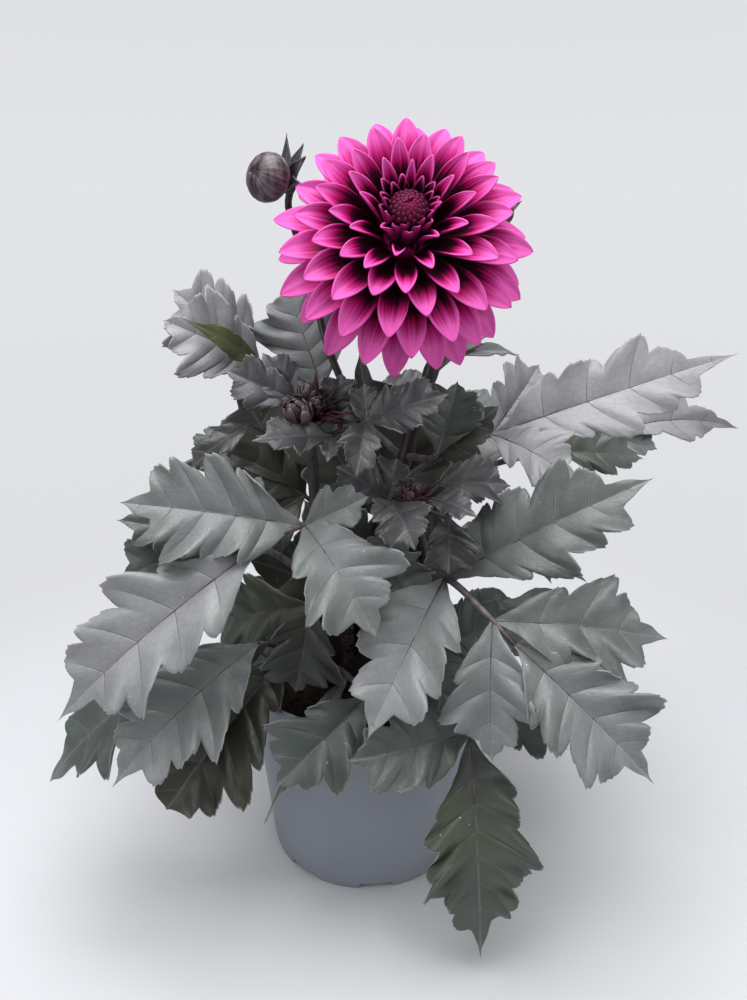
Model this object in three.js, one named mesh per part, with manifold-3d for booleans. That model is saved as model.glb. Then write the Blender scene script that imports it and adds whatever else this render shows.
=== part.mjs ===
// A dark-leaved dahlia in a plastic nursery pot: one double magenta bloom, a nodding bud, young buds
// and cut, toothed compound leaves on several purple stems that stand in potting soil.
// Millimetres, +Z up. The origin is the middle of the pot's underside and -Y is the plant's front.

import * as THREE from "three";
import { mergeVertices } from "three/addons/utils/BufferGeometryUtils.js";
import Module from "manifold-3d";

const wasm = await Module();
wasm.setup();

// Driving sizes of the pot and its soil.
const POT_HEIGHT = 100;
const POT_BASE_RADIUS = 48;
const POT_WALL_TOP_RADIUS = 56.5;
const POT_RIM_RADIUS = 61;
const POT_RIM_HEIGHT = 14;
const POT_WALL = 1.6;
const POT_FOOT_HEIGHT = 4;
const POT_FOOT_WIDTH = 4;
const POT_BOSS_RADIUS = 14;
const POT_NOTCHES = 8;
const POT_NOTCH_TURN = 5.5;
const POT_NOTCH_BOTTOM_WIDTH = 18;
const POT_NOTCH_TOP_WIDTH = 15;
const POT_NOTCH_HEIGHT = 3.4;
const POT_SIDES = 24;
const SOIL_TOP = 89;
const SOIL_RELIEF = 1.6;
const STEM_DEPTH = 28;

// The clearance kept between two pieces that touch.
const SEAT = 0.3;

// Edges that stray less than this from their neighbours' plane are smoothed away.
const SMALLEST = 0.1;

// Driving sizes of the foliage.
const BLADE = 0.8;
const LOBE_START = 0.1;
const LOBE_END = 0.77;
const LOBE_PEAK = 0.66;
const PETIOLE_ROOT_RADIUS = 2.2;
const PETIOLE_TIP_RADIUS = 1.1;
const TUBE_SIDES = 5;
const STEM_SIDES = 7;

// Driving sizes of the bloom. Its axis points forwards and up.
const BLOOM_CENTRE = new THREE.Vector3(15, -25, 295);
const BLOOM_PITCH = 30;
const BLOOM_YAW = 2;
const BLOOM_RADIUS = 50;
const BLOOM_FRONT = 34;
const PETALS = 80;
const PETAL_THICKNESS = 1;

// A petal's cross rows: place along it, share of its width, and how deeply the row is cupped.
const PETAL_ROWS = [[0, 0.16, 0.8], [0.58, 0.9, 0.6], [0.87, 0.72, 0.35]];

// The bloom's solid middle, its heart of unopened petals, its calyx and the buds.
const RECEPTACLE_RADIUS = 11;
const HEART_MIDDLE = 24;
const HEART_RELIEF = 0.8;
const CALYX_BRACTS = 6;
const BUD_RELIEF = 0.5;
const GOLDEN_ANGLE = 137.508;

const degrees = THREE.MathUtils.degToRad;
const vector = (p) => new THREE.Vector3(p[0], p[1], p[2]);

// A repeatable number from 0 to 1 for the pair (i, j).
function chance(i, j) {
  const wave = Math.sin(i * 12.9898 + j * 78.233) * 43758.5453;
  return wave - Math.floor(wave);
}

// Closed geometry to a solid that faces outwards, and back.
function toSolid(geometry) {
  const bare = geometry.index ? geometry.toNonIndexed() : geometry.clone();
  bare.deleteAttribute("normal");
  bare.deleteAttribute("uv");
  const merged = mergeVertices(bare, 1e-4);
  const corners = new Uint32Array(merged.index.array);
  const build = () => new wasm.Manifold(
    new wasm.Mesh({
      numProp: 3,
      vertProperties: new Float32Array(merged.attributes.position.array),
      triVerts: corners,
    }),
  );
  const solid = build();
  if (solid.volume() > 0) return solid;
  for (let i = 0; i < corners.length; i += 3) {
    [corners[i], corners[i + 1]] = [corners[i + 1], corners[i]];
  }
  return build();
}

function toGeometry(solid) {
  const mesh = solid.getMesh();
  const geometry = new THREE.BufferGeometry();
  const stride = mesh.numProp;
  const positions = new Float32Array(mesh.numVert * 3);
  for (let i = 0; i < mesh.numVert; i += 1) {
    positions.set(mesh.vertProperties.subarray(i * stride, i * stride + 3), i * 3);
  }
  geometry.setAttribute("position", new THREE.BufferAttribute(positions, 3));
  geometry.setIndex(new THREE.BufferAttribute(new Uint32Array(mesh.triVerts), 1));
  geometry.computeVertexNormals();
  return geometry;
}

// The largest connected body of a solid: a cut can leave a loose scrap behind.
function largestBody(solid) {
  const bodies = solid.asOriginal().simplify(SMALLEST).decompose();
  bodies.sort((a, b) => b.volume() - a.volume());
  return bodies[0];
}

function unionOf(solids) {
  return wasm.Manifold.union(solids);
}

// A geometry from points and triangles.
function faceted(points, triangles) {
  const geometry = new THREE.BufferGeometry();
  const positions = points.flatMap((p) => [p.x, p.y, p.z]);
  geometry.setAttribute("position", new THREE.Float32BufferAttribute(positions, 3));
  geometry.setIndex(triangles.flat());
  return geometry;
}

// A tube along a curve whose radius is radiusAt(t), closed with flat ends.
function tube(curve, radiusAt, steps, sides) {
  const points = [];
  const triangles = [];
  const frames = curve.computeFrenetFrames(steps, false);
  for (let i = 0; i <= steps; i += 1) {
    const centre = curve.getPointAt(i / steps);
    const radius = radiusAt(i / steps);
    for (let k = 0; k < sides; k += 1) {
      const angle = (k / sides) * Math.PI * 2;
      const out = frames.normals[i].clone().multiplyScalar(Math.cos(angle));
      out.addScaledVector(frames.binormals[i], Math.sin(angle));
      points.push(centre.clone().addScaledVector(out, radius));
    }
  }
  for (let i = 0; i < steps; i += 1) {
    for (let k = 0; k < sides; k += 1) {
      const a = i * sides + k;
      const b = i * sides + ((k + 1) % sides);
      triangles.push([a, b, b + sides], [a, b + sides, a + sides]);
    }
  }
  for (let k = 1; k < sides - 1; k += 1) {
    triangles.push([0, k + 1, k]);
    triangles.push([steps * sides, steps * sides + k, steps * sides + k + 1]);
  }
  return toSolid(faceted(points, triangles));
}

function smooth(points) {
  return new THREE.CatmullRomCurve3(points, false, "centripetal");
}

// A turned body: profile holds [distance along axis, radius] pairs from one pole to the other. relief
// is how far every second corner stands out, in a spiral, for a surface of overlapping scales.
function turned(profile, sides, origin, axis, relief = 0) {
  const outline = profile.map(([along, radius]) => new THREE.Vector2(radius, along));
  const geometry = new THREE.LatheGeometry(outline, sides);
  const position = geometry.attributes.position;
  for (let i = 0; relief > 0 && i < position.count; i += 1) {
    const side = Math.floor(i / outline.length) % sides;
    const ring = i % outline.length;
    const radius = outline[ring].x;
    const grow = (side + ring) % 2 === 0 && radius > 3 ? (radius + relief) / radius : 1;
    position.setXYZ(i, position.getX(i) * grow, position.getY(i), position.getZ(i) * grow);
  }
  const turn = new THREE.Quaternion().setFromUnitVectors(new THREE.Vector3(0, 1, 0), axis);
  geometry.applyQuaternion(turn);
  geometry.translate(origin.x, origin.y, origin.z);
  return toSolid(geometry);
}

// A thin closed blade. rows holds equal lists of points from root to tip, and normals one direction a
// row along which the blade has its thickness. The last row is one point, the tip.
function slab(rows, normals, thickness) {
  const columns = rows[0].length;
  const full = rows.length - 1;
  const points = [];
  for (const side of [0.5, -0.5]) {
    rows.forEach((row, i) => {
      row.forEach((p) => points.push(p.clone().addScaledVector(normals[i], side * thickness)));
    });
  }
  const under = points.length / 2;
  const tip = full * columns;
  const triangles = [];
  const both = (a, b, c) => triangles.push([a, b, c], [under + a, under + c, under + b]);
  for (let i = 0; i < full - 1; i += 1) {
    for (let k = 0; k < columns - 1; k += 1) {
      const a = i * columns + k;
      const b = a + columns;
      // The diagonals mirror each other about the middle line.
      if (k < (columns - 1) / 2) {
        both(a, a + 1, b);
        both(a + 1, b + 1, b);
      } else {
        both(a, a + 1, b + 1);
        both(a, b + 1, b);
      }
    }
  }
  for (let k = 0; k < columns - 1; k += 1) {
    both(tip - columns + k, tip - columns + k + 1, tip);
  }
  const rim = [];
  for (let k = 0; k < columns; k += 1) rim.push(k);
  for (let i = 1; i < full; i += 1) rim.push(i * columns + columns - 1);
  rim.push(tip);
  for (let i = full - 1; i > 0; i -= 1) rim.push(i * columns);
  rim.forEach((a, i) => {
    const b = rim[(i + 1) % rim.length];
    triangles.push([a, under + a, under + b], [a, under + b, b]);
  });
  return toSolid(faceted(points, triangles));
}

// The half-width of a leaflet as a share of its widest, at foot t of the side vein: it swells from the
// stalk to its widest place and draws out to a point, the longer the greater the taper.
function envelope(t, widest, taper) {
  const a = taper * widest;
  const b = taper - a;
  return (t ** a * (1 - t) ** b) / (widest ** a * (1 - widest) ** b);
}

// The share of the half-width left at foot t by the cut between lobes: each lobe rises gently to its
// forward point and falls steeply to the next cut.
function lobed(t, lobes, depth) {
  const along = ((t - LOBE_START) / (LOBE_END - LOBE_START)) * lobes;
  if (along < 0 || along > lobes) return 1 - depth;
  const share = along - Math.floor(along);
  const rise = share < LOBE_PEAK ? share / LOBE_PEAK : (1 - share) / (1 - LOBE_PEAK);
  return 1 - depth * (1 - Math.sin((rise * Math.PI) / 2));
}

// One leaflet's blade. Its middle line is a quadratic arc from base to tip that bows by half of arch
// times its length towards face. Side veins leave it at an angle that closes towards the tip.
function leaflet(base, spec, seed) {
  const { tip, face, width, arch = 0.2, fold = 14, lobes = 3, depth = 0.36, twist = 0 } = spec;
  const { widest = 0.4, taper = 2.8 } = spec;
  const end = vector(tip);
  const chord = end.clone().sub(base);
  const length = chord.length();
  chord.normalize();
  const up = vector(face);
  up.addScaledVector(chord, -up.dot(chord)).normalize();
  const middle = base.clone().lerp(end, 0.5).addScaledVector(up, arch * length);
  const arc = new THREE.QuadraticBezierCurve3(base, middle, end);
  const feet = [0];
  for (let k = 0; k < lobes; k += 1) {
    const span = (LOBE_END - LOBE_START) / lobes;
    if (k > 0) feet.push(LOBE_START + span * k);
    feet.push(LOBE_START + span * (k + LOBE_PEAK));
  }
  feet.push(LOBE_END);
  const rows = [];
  const normals = [];
  for (const t of feet) {
    const along = arc.getTangent(t);
    const side = along.clone().cross(up).normalize();
    const out = side.clone().cross(along).normalize();
    side.applyAxisAngle(along, degrees(twist * t));
    out.applyAxisAngle(along, degrees(twist * t));
    const centre = arc.getPoint(t);
    const row = [-1, 0, 1].map((s) => {
      if (s === 0) return centre.clone();
      const wave = t < LOBE_START ? 0 : Math.sin(t * lobes * 7.4 + s * 1.7 + seed * 2.1);
      const reach = Math.max(1.1, (width / 2) * envelope(t, widest, taper) * lobed(t, lobes, depth));
      const forward = reach * (0.45 + 0.55 * t);
      const lift = reach * (Math.sin(degrees(fold)) + 0.13 * wave);
      return centre
        .clone()
        .addScaledVector(side, s * reach * Math.cos(degrees(fold)))
        .addScaledVector(along, Math.min(forward, (1 - t) * length * 0.9))
        .addScaledVector(out, lift);
    });
    rows.push(row);
    normals.push(out);
  }
  rows.push([arc.getPoint(1)]);
  normals.push(normals[normals.length - 1]);
  return slab(rows, normals, BLADE);
}

// A small plain pointed blade, such as a bract: rolled by cup and widest at the middle.
function bract(base, tip, face, width, arch = 0.2, cup = 0.5) {
  const chord = tip.clone().sub(base);
  const length = chord.length();
  chord.normalize();
  const up = face.clone().addScaledVector(chord, -face.dot(chord)).normalize();
  const side = chord.clone().cross(up);
  const middle = base.clone().lerp(tip, 0.5).addScaledVector(up, -arch * length);
  const arc = new THREE.QuadraticBezierCurve3(base, middle, tip);
  const rows = [[0, 0.45], [0.35, 1], [0.72, 0.72]].map(([t, share]) => {
    const half = (width / 2) * share;
    return [-1, 0, 1].map((s) => arc.getPoint(t)
      .addScaledVector(side, s * half)
      .addScaledVector(up, s * s * half * cup));
  });
  rows.push([arc.getPoint(1)]);
  return slab(rows, rows.map(() => up), BLADE);
}

// Stems. Each path runs from inside the soil to the top; radii are at the foot and at the top.
const SOIL_FOOT = SOIL_TOP - STEM_DEPTH;
const stems = {
  stem_bloom: {
    path: [
      [8, 4, SOIL_FOOT], [10, 5, 110], [14, 5, 160], [19, 2, 205],
      [28, 3, 238], [33, 5, 258], [26, -1, 277], [15, -10, 287],
    ],
    radii: [4.6, 2.6],
    branches: [
      {
        from: 172,
        path: [
          [2, 4, 205], [-6, 4, 225], [-17, 11, 251], [-23, 17, 274],
          [-29, 16, 295], [-32, 9, 309], [-30, 1, 316],
        ],
        radii: [1.9, 1.5],
      },
      {
        from: 226,
        path: [[34, 14, 244], [46, 26, 262], [54, 29, 285], [56, 26, 298]],
        radii: [1.7, 1.4],
      },
    ],
  },
  stem_left: {
    path: [[-14, -4, SOIL_FOOT], [-16, -6, 110], [-20, -14, 160], [-22, -24, 198], [-22, -28, 212]],
    radii: [4.2, 2.2],
  },
  stem_right: {
    path: [[21, -14, SOIL_FOOT], [24, -17, 105], [27, -26, 150], [23, -38, 180], [21, -43, 188]],
    radii: [3.8, 2],
  },
  stem_back: {
    path: [[-2, 22, SOIL_FOOT], [-4, 26, 110], [-8, 34, 160], [-6, 40, 200]],
    radii: [4, 2],
  },
};

// The leafy tops that go on where a stem ends. Each has its own short axis.
const crowns = {
  young_left: { stem: "stem_left", path: [[-22, -32, 222], [-21, -34, 229]], radii: [2.1, 1.6] },
  young_right: { stem: "stem_right", path: [[20, -46, 194], [19, -48, 199]], radii: [1.8, 1.3] },
  young_back: { stem: "stem_back", path: [[-5, 42, 208], [-4, 43, 214]], radii: [1.8, 1.3] },
};

function stemCurve(name, extra = 0) {
  const points = stems[name].path.map(vector);
  const last = points.length - 1;
  points[0].z -= extra;
  const end = points[last].clone().sub(points[last - 1]).normalize();
  points[last].addScaledVector(end, extra);
  return smooth(points);
}

// The point of a curve at a height, found by halving.
function atHeight(curve, height) {
  let low = 0;
  let high = 1;
  for (let i = 0; i < 30; i += 1) {
    const t = (low + high) / 2;
    if (curve.getPoint(t).z < height) low = t;
    else high = t;
  }
  return curve.getPoint(low);
}

// A stem with its side branches, thicker all round by extra where it is used to cut its seat.
function stemSolid(name, extra = 0) {
  const { radii, branches = [] } = stems[name];
  const curve = stemCurve(name, extra);
  const pieces = [tube(curve, (t) => radii[0] + (radii[1] - radii[0]) * t + extra, 11, STEM_SIDES)];
  for (const branch of branches) {
    const foot = atHeight(stemCurve(name), branch.from);
    const points = [foot, ...branch.path.map(vector)];
    const last = points.length - 1;
    points[last].addScaledVector(points[last].clone().sub(points[last - 1]).normalize(), extra);
    const [a, b] = branch.radii;
    pieces.push(tube(smooth(points), (t) => a + (b - a) * t + extra, 9, TUBE_SIDES));
  }
  return largestBody(unionOf(pieces));
}

// The compound leaves, bent to the places they have on the plant. way is the leaf stalk from the stem
// on: its joints, the last of which bears the end leaflet. at is where a leaflet leaves the stalk,
// counted in joints: 1 is the first of way. face is the direction the upper side looks.
const leaves = [
  {
    name: "leaf_front_right",
    stem: "stem_right",
    height: 140,
    way: [[33, -48, 165], [50, -72, 158], [58, -78, 151]],
    leaflets: [
      { at: 1, tip: [113, -52, 210], face: [-0.15, -0.8, 0.6], width: 44, arch: 0.1, lobes: 4 },
      { at: 1, tip: [1, -96, 120], face: [-0.1, -0.8, 0.6], width: 42, arch: 0.2 },
      { at: 2, tip: [119, -72, 150], face: [0.1, -0.7, 0.7], width: 38, arch: 0.14 },
      { at: 2, tip: [50, -90, 106], face: [-0.3, -0.85, 0.4], width: 36, arch: 0.2 },
      { at: 3, tip: [108, -106, 108], face: [0.1, -0.85, 0.5], width: 46, arch: 0.16, lobes: 4, taper: 3.6 },
    ],
  },
  {
    name: "leaf_left",
    stem: "stem_left",
    height: 158,
    way: [[-24, -52, 190], [-39, -60, 186]],
    leaflets: [
      { at: 1, tip: [-95, -58, 202], face: [0, -0.85, 0.5], width: 44, arch: 0.12, lobes: 4 },
      { at: 1, tip: [2, -54, 203], face: [0, -0.85, 0.5], width: 22, arch: 0.1, lobes: 2 },
      { at: 1, tip: [5, -86, 158], face: [0.1, -0.75, 0.6], width: 42, arch: 0.25 },
      {
        at: 2, tip: [-123, -78, 116], face: [0.1, -0.75, 0.65],
        widest: 0.42, taper: 3.4, width: 48, arch: 0.2, lobes: 4,
      },
    ],
  },
  {
    name: "leaf_left_behind",
    stem: "stem_left",
    height: 142,
    way: [[-45, -18, 165], [-62, -26, 172]],
    leaflets: [
      { at: 2, tip: [-104, -36, 186], face: [0, -0.8, 0.6], width: 26, arch: 0.15 },
      { at: 2, tip: [-106, -36, 158], face: [-0.1, -0.8, 0.6], width: 34, arch: 0.15 },
      { at: 1, tip: [-58, 2, 192], face: [-0.1, -0.8, 0.6], width: 26, arch: 0.15, lobes: 2 },
    ],
  },
  {
    name: "leaf_left_inner",
    stem: "stem_left",
    height: 126,
    way: [[-24, -32, 144]],
    leaflets: [
      { at: 1, tip: [-74, -12, 126], face: [0, -0.9, 0.4], width: 38, arch: 0.08 },
      { at: 1, tip: [-31, -45, 108], face: [0.1, -0.9, 0.3], width: 36, arch: 0.2 },
    ],
  },
  {
    name: "leaf_middle_inner",
    stem: "stem_bloom",
    height: 140,
    way: [[8, -26, 162]],
    leaflets: [
      { at: 1, tip: [22, -46, 152], face: [0.1, -0.9, 0.4], width: 28, arch: 0.2 },
      { at: 1, tip: [-16, -42, 148], face: [-0.1, -0.9, 0.4], width: 26, arch: 0.2, lobes: 2 },
      { at: 1, tip: [14, -44, 188], face: [0, -0.9, 0.4], width: 24, arch: 0.15 },
    ],
  },
  {
    name: "leaf_right_inner",
    stem: "stem_right",
    height: 118,
    way: [[33, -44, 132]],
    leaflets: [
      { at: 1, tip: [30, -68, 112], face: [0, -0.9, 0.4], width: 30, arch: 0.2 },
      { at: 1, tip: [62, -50, 149], face: [0.1, -0.9, 0.4], width: 34, arch: 0.2 },
    ],
  },
  {
    name: "leaf_lower_left",
    stem: "stem_left",
    height: 108,
    way: [[-33, -30, 122], [-46, -42, 131]],
    leaflets: [
      { at: 2, tip: [-103, -82, 87], face: [-0.2, -0.8, 0.6], width: 50, arch: 0.2, lobes: 4, taper: 3.2 },
      {
        at: 2, tip: [-140, -56, 69], face: [-0.4, -0.5, 0.75],
        widest: 0.48, width: 42, arch: 0.26, lobes: 4,
      },
      { at: 1, tip: [-86, -68, 64], face: [-0.2, -0.9, 0.35], widest: 0.52, width: 52, arch: 0.16, lobes: 4 },
    ],
  },
  {
    name: "leaf_lower_centre",
    stem: "stem_left",
    height: 96,
    way: [[-8, -38, 112], [2, -60, 116]],
    leaflets: [
      { at: 2, tip: [-37, -81, 86], face: [0, -0.8, 0.6], width: 38, arch: 0.15 },
      { at: 1, tip: [-43, -76, 63], face: [0, -0.8, 0.6], width: 15, arch: 0.35, twist: 70, lobes: 2 },
    ],
  },
  {
    name: "leaf_hanging",
    stem: "stem_right",
    height: 98,
    way: [[36, -52, 112], [43, -74, 108]],
    leaflets: [
      {
        at: 2, tip: [49, -95, 9], face: [0, -0.95, 0.3],
        width: 46, arch: 0.12, lobes: 5, depth: 0.18, widest: 0.38, taper: 3.5,
      },
      { at: 2, tip: [-7, -90, 106], face: [0.1, -0.85, 0.5], width: 36, arch: 0.16 },
      { at: 1, tip: [84, -72, 98], face: [0.2, -0.6, 0.8], width: 32, arch: 0.2 },
    ],
  },
  {
    name: "leaf_top_right",
    stem: "stem_bloom",
    height: 192,
    way: [[38, -6, 207], [54, -12, 216]],
    leaflets: [
      { at: 2, tip: [164, 6, 248], face: [0, -0.85, 0.5], widest: 0.46, width: 46, arch: 0.06, lobes: 4 },
      { at: 2, tip: [79, 18, 241], face: [0.1, -0.9, 0.3], width: 30, arch: 0.1 },
      { at: 2, tip: [88, -34, 201], face: [0.1, -0.7, 0.7], width: 30, arch: 0.2 },
    ],
  },
  {
    name: "leaf_right_behind",
    stem: "stem_bloom",
    height: 160,
    way: [[50, 14, 190], [83, 12, 201], [113, 30, 203]],
    leaflets: [
      { at: 2, tip: [130, 14, 197], face: [0, -0.7, 0.7], width: 26, arch: 0.12 },
      { at: 3, tip: [140, 26, 198], face: [0, -0.7, 0.7], width: 20, arch: 0.12, lobes: 2 },
      { at: 3, tip: [186, 45, 203], face: [0, -0.3, 0.9], width: 22, arch: 0.2, twist: 100 },
      { at: 1, tip: [96, 66, 190], face: [0.2, 0.2, 0.9], width: 34, arch: 0.2, lobes: 2 },
    ],
  },
  {
    name: "leaf_below_bloom",
    stem: "stem_bloom",
    height: 202,
    way: [[28, -20, 208], [30, -26, 212]],
    leaflets: [
      { at: 2, tip: [38, -22, 242], face: [0.15, -1, 0.2], width: 28, arch: 0.1 },
      { at: 1, tip: [56, -22, 232], face: [0.1, -1, 0.2], width: 22, arch: 0.1, lobes: 2 },
    ],
  },
  {
    name: "leaf_bloom_stalk",
    stem: "stem_bloom",
    height: 240,
    way: [[38, 8, 246]],
    leaflets: [
      { at: 1, tip: [69, 22, 244], face: [0, -0.5, 0.85], width: 11, arch: 0.2, lobes: 2, depth: 0.2 },
      { at: 1, tip: [57, 22, 256], face: [-0.3, -0.6, 0.7], width: 10, arch: 0.1, lobes: 2, depth: 0.2 },
    ],
  },
  {
    name: "leaf_top_left",
    stem: "stem_bloom",
    height: 200,
    way: [[-20, 20, 229], [-48, 17, 241]],
    leaflets: [
      { at: 2, tip: [-86, 20, 274], face: [0.1, -0.9, 0.4], width: 42, arch: 0.05 },
      { at: 2, tip: [-87, 2, 263], face: [-0.2, -0.85, 0.5], width: 40, arch: 0.15 },
      { at: 1, tip: [-36, 30, 274], face: [0, -0.95, 0.2], width: 42, arch: 0.05, lobes: 4, depth: 0.15 },
    ],
  },
  {
    name: "leaf_back_left",
    stem: "stem_back",
    height: 170,
    way: [[-34, 48, 190], [-54, 58, 192]],
    leaflets: [
      { at: 2, tip: [-112, 72, 150], face: [-0.2, 0.2, 1], width: 44, arch: 0.2 },
      { at: 1, tip: [-66, 112, 180], face: [-0.1, 0.3, 1], width: 40, arch: 0.25, lobes: 2 },
      { at: 2, tip: [-82, 30, 186], face: [0, -0.6, 0.8], width: 34, arch: 0.2, lobes: 2 },
    ],
  },
  {
    name: "leaf_back_right",
    stem: "stem_back",
    height: 178,
    way: [[14, 56, 194], [30, 68, 194]],
    leaflets: [
      { at: 2, tip: [92, 92, 168], face: [0.2, 0.2, 1], width: 44, arch: 0.25 },
      { at: 1, tip: [20, 122, 178], face: [0, 0.3, 1], width: 40, arch: 0.25, lobes: 2 },
      { at: 2, tip: [72, 56, 214], face: [0, -0.5, 0.8], width: 32, arch: 0.2, lobes: 2 },
    ],
  },
  {
    name: "leaf_back_lower_left",
    stem: "stem_back",
    height: 118,
    way: [[-34, 42, 132], [-52, 52, 134]],
    leaflets: [
      { at: 2, tip: [-116, 84, 96], face: [-0.3, 0.3, 0.9], width: 48, arch: 0.25 },
      { at: 1, tip: [-54, 112, 84], face: [-0.1, 0.6, 0.8], width: 42, arch: 0.25, lobes: 2 },
      { at: 2, tip: [-122, 14, 110], face: [-0.2, -0.3, 0.9], width: 42, arch: 0.25, lobes: 2 },
    ],
  },
  {
    name: "leaf_back_lower_right",
    stem: "stem_back",
    height: 126,
    way: [[26, 46, 136], [44, 56, 138]],
    leaflets: [
      { at: 2, tip: [108, 84, 98], face: [0.3, 0.3, 0.9], width: 48, arch: 0.25 },
      { at: 1, tip: [44, 116, 86], face: [0.1, 0.6, 0.8], width: 42, arch: 0.25, lobes: 2 },
      { at: 2, tip: [112, 24, 128], face: [0.2, -0.2, 0.9], width: 40, arch: 0.25, lobes: 2 },
    ],
  },
  {
    name: "leaf_right_lower",
    stem: "stem_bloom",
    height: 112,
    way: [[44, -2, 128], [62, -6, 132]],
    leaflets: [
      { at: 2, tip: [126, -16, 92], face: [0.3, -0.3, 0.9], width: 46, arch: 0.25 },
      { at: 2, tip: [84, -52, 112], face: [0.2, -0.6, 0.8], width: 34, arch: 0.2 },
      { at: 1, tip: [100, 34, 84], face: [0.4, 0.2, 0.9], width: 36, arch: 0.25, lobes: 2 },
    ],
  },
  {
    name: "young_left",
    crown: "young_left",
    stalks: [
      { way: [[-10, -42, 226], [0, -49, 231]], leaflets: [
        { at: 2, tip: [32, -55, 244], face: [0, -0.8, 0.6], width: 22, arch: 0.15 },
        { at: 2, tip: [-3, -66, 215], face: [0.1, -0.75, 0.5], width: 17, arch: 0.25, lobes: 2 },
        { at: 2, tip: [0, -44, 246], face: [0, -0.9, 0.3], width: 13, arch: 0.1, lobes: 2 },
      ] },
      { way: [[-12, -44, 224]], leaflets: [
        { at: 1, tip: [-43, -56, 226], face: [0, -0.6, 0.8], width: 18, arch: 0.1, lobes: 2 },
        { at: 1, tip: [-14, -60, 219], face: [0, -0.7, 0.7], width: 9, arch: 0.1, lobes: 2 },
      ] },
      { way: [[-27, -28, 233]], leaflets: [
        { at: 1, tip: [-57, -25, 247], face: [0, -0.85, 0.5], width: 22, arch: 0.1, lobes: 2 },
        { at: 1, tip: [-42, -19, 253], face: [0, -0.9, 0.4], width: 18, arch: 0.1, lobes: 2 },
      ] },
      { way: [[-12, -36, 231]], leaflets: [
        { at: 1, tip: [-9, -35, 248], face: [0, -1, 0.2], width: 16, arch: 0.1, lobes: 2 },
      ] },
      { way: [[-36, -30, 221], [-46, -30, 225]], leaflets: [
        { at: 2, tip: [-71, -42, 208], face: [-0.2, -0.7, 0.6], width: 15, arch: 0.25, lobes: 2 },
      ] },
    ],
  },
  {
    name: "young_right",
    crown: "young_right",
    stalks: [
      { way: [[9, -44, 198]], leaflets: [
        { at: 1, tip: [-12, -40, 211], face: [0, -0.8, 0.6], width: 22, arch: 0.15, lobes: 2 },
        { at: 1, tip: [13, -36, 213], face: [0, -0.9, 0.4], width: 18, arch: 0.1, lobes: 2 },
      ] },
      { way: [[12, -54, 200]], leaflets: [
        { at: 1, tip: [19, -75, 189], face: [-0.1, -0.8, 0.6], width: 22, arch: 0.3, lobes: 2 },
        { at: 1, tip: [3, -64, 196], face: [-0.1, -0.8, 0.6], width: 12, arch: 0.2, lobes: 2 },
      ] },
      { way: [[26, -52, 201]], leaflets: [
        { at: 1, tip: [43, -66, 199], face: [0, -0.6, 0.8], width: 13, arch: 0.15, lobes: 2 },
      ] },
      { way: [[30, -42, 204]], leaflets: [
        { at: 1, tip: [59, -42, 203], face: [0, -0.7, 0.7], width: 22, arch: 0.15, lobes: 2 },
      ] },
      { way: [[34, -44, 190]], leaflets: [
        { at: 1, tip: [33, -60, 172], face: [0.1, -0.9, 0.4], width: 24, arch: 0.2, lobes: 2 },
      ] },
    ],
  },
  {
    name: "young_back",
    crown: "young_back",
    stalks: [
      { way: [[-12, 38, 216]], leaflets: [
        { at: 1, tip: [-42, 32, 226], face: [0, -0.6, 0.8], width: 20, arch: 0.15, lobes: 2 },
      ] },
      { way: [[4, 46, 216]], leaflets: [
        { at: 1, tip: [34, 54, 228], face: [0, -0.4, 0.9], width: 20, arch: 0.15, lobes: 2 },
      ] },
    ],
  },
  {
    name: "leaf_centre_behind",
    stem: "stem_back",
    height: 140,
    way: [[6, 24, 164]],
    leaflets: [
      { at: 1, tip: [28, 22, 234], face: [0, -0.95, 0.3], width: 46, arch: 0.05, lobes: 2 },
      { at: 1, tip: [-32, 22, 226], face: [0, -0.95, 0.3], width: 42, arch: 0.05, lobes: 2 },
      { at: 1, tip: [-3, 30, 246], face: [0, -0.95, 0.3], width: 36, arch: 0.05, lobes: 2 },
      { at: 1, tip: [54, 28, 198], face: [0, -0.9, 0.4], width: 38, arch: 0.1, lobes: 2 },
    ],
  },
  {
    name: "leaf_left_middle",
    stem: "stem_back",
    height: 152,
    way: [[-30, 26, 174]],
    leaflets: [
      { at: 1, tip: [-66, 24, 200], face: [0, -0.9, 0.4], width: 36, arch: 0.1, lobes: 2 },
      { at: 1, tip: [-62, 32, 228], face: [0, -0.9, 0.4], width: 42, arch: 0.05, lobes: 2 },
      { at: 1, tip: [-72, 8, 150], face: [0, -0.8, 0.6], width: 36, arch: 0.2, lobes: 2 },
    ],
  },
  {
    name: "leaf_low_behind",
    stem: "stem_back",
    height: 104,
    way: [[8, 16, 122]],
    leaflets: [
      { at: 1, tip: [51, 5, 167], face: [0, -0.8, 0.6], width: 44, arch: 0.15, lobes: 2 },
      { at: 1, tip: [-70, 14, 106], face: [0, -0.85, 0.5], width: 50, arch: 0.1, lobes: 2 },
      { at: 1, tip: [-30, 14, 177], face: [0, -0.95, 0.3], width: 50, arch: 0.1, lobes: 2 },
      { at: 1, tip: [-50, 4, 148], face: [0, -0.95, 0.3], width: 40, arch: 0.1, lobes: 2 },
    ],
  },
];

// One stalk with its leaflets, all rooted in the stalk.
function stalkPieces(root, stalk, thick, sides, seed) {
  const points = [root, ...stalk.way.map(vector)];
  const curve = smooth(points);
  const radius = (t) => thick[0] + (thick[1] - thick[0]) * t;
  const pieces = [tube(curve, radius, 1 + 2 * stalk.way.length, sides)];
  stalk.leaflets.forEach((spec, k) => {
    // Each leaflet starts a little inside the stalk.
    const start = points[spec.at];
    const inward = start.clone().sub(vector(spec.tip)).setLength(0.5 + 0.13 * k);
    pieces.push(leaflet(inward.add(start), spec, seed + k));
  });
  return pieces;
}

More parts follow.
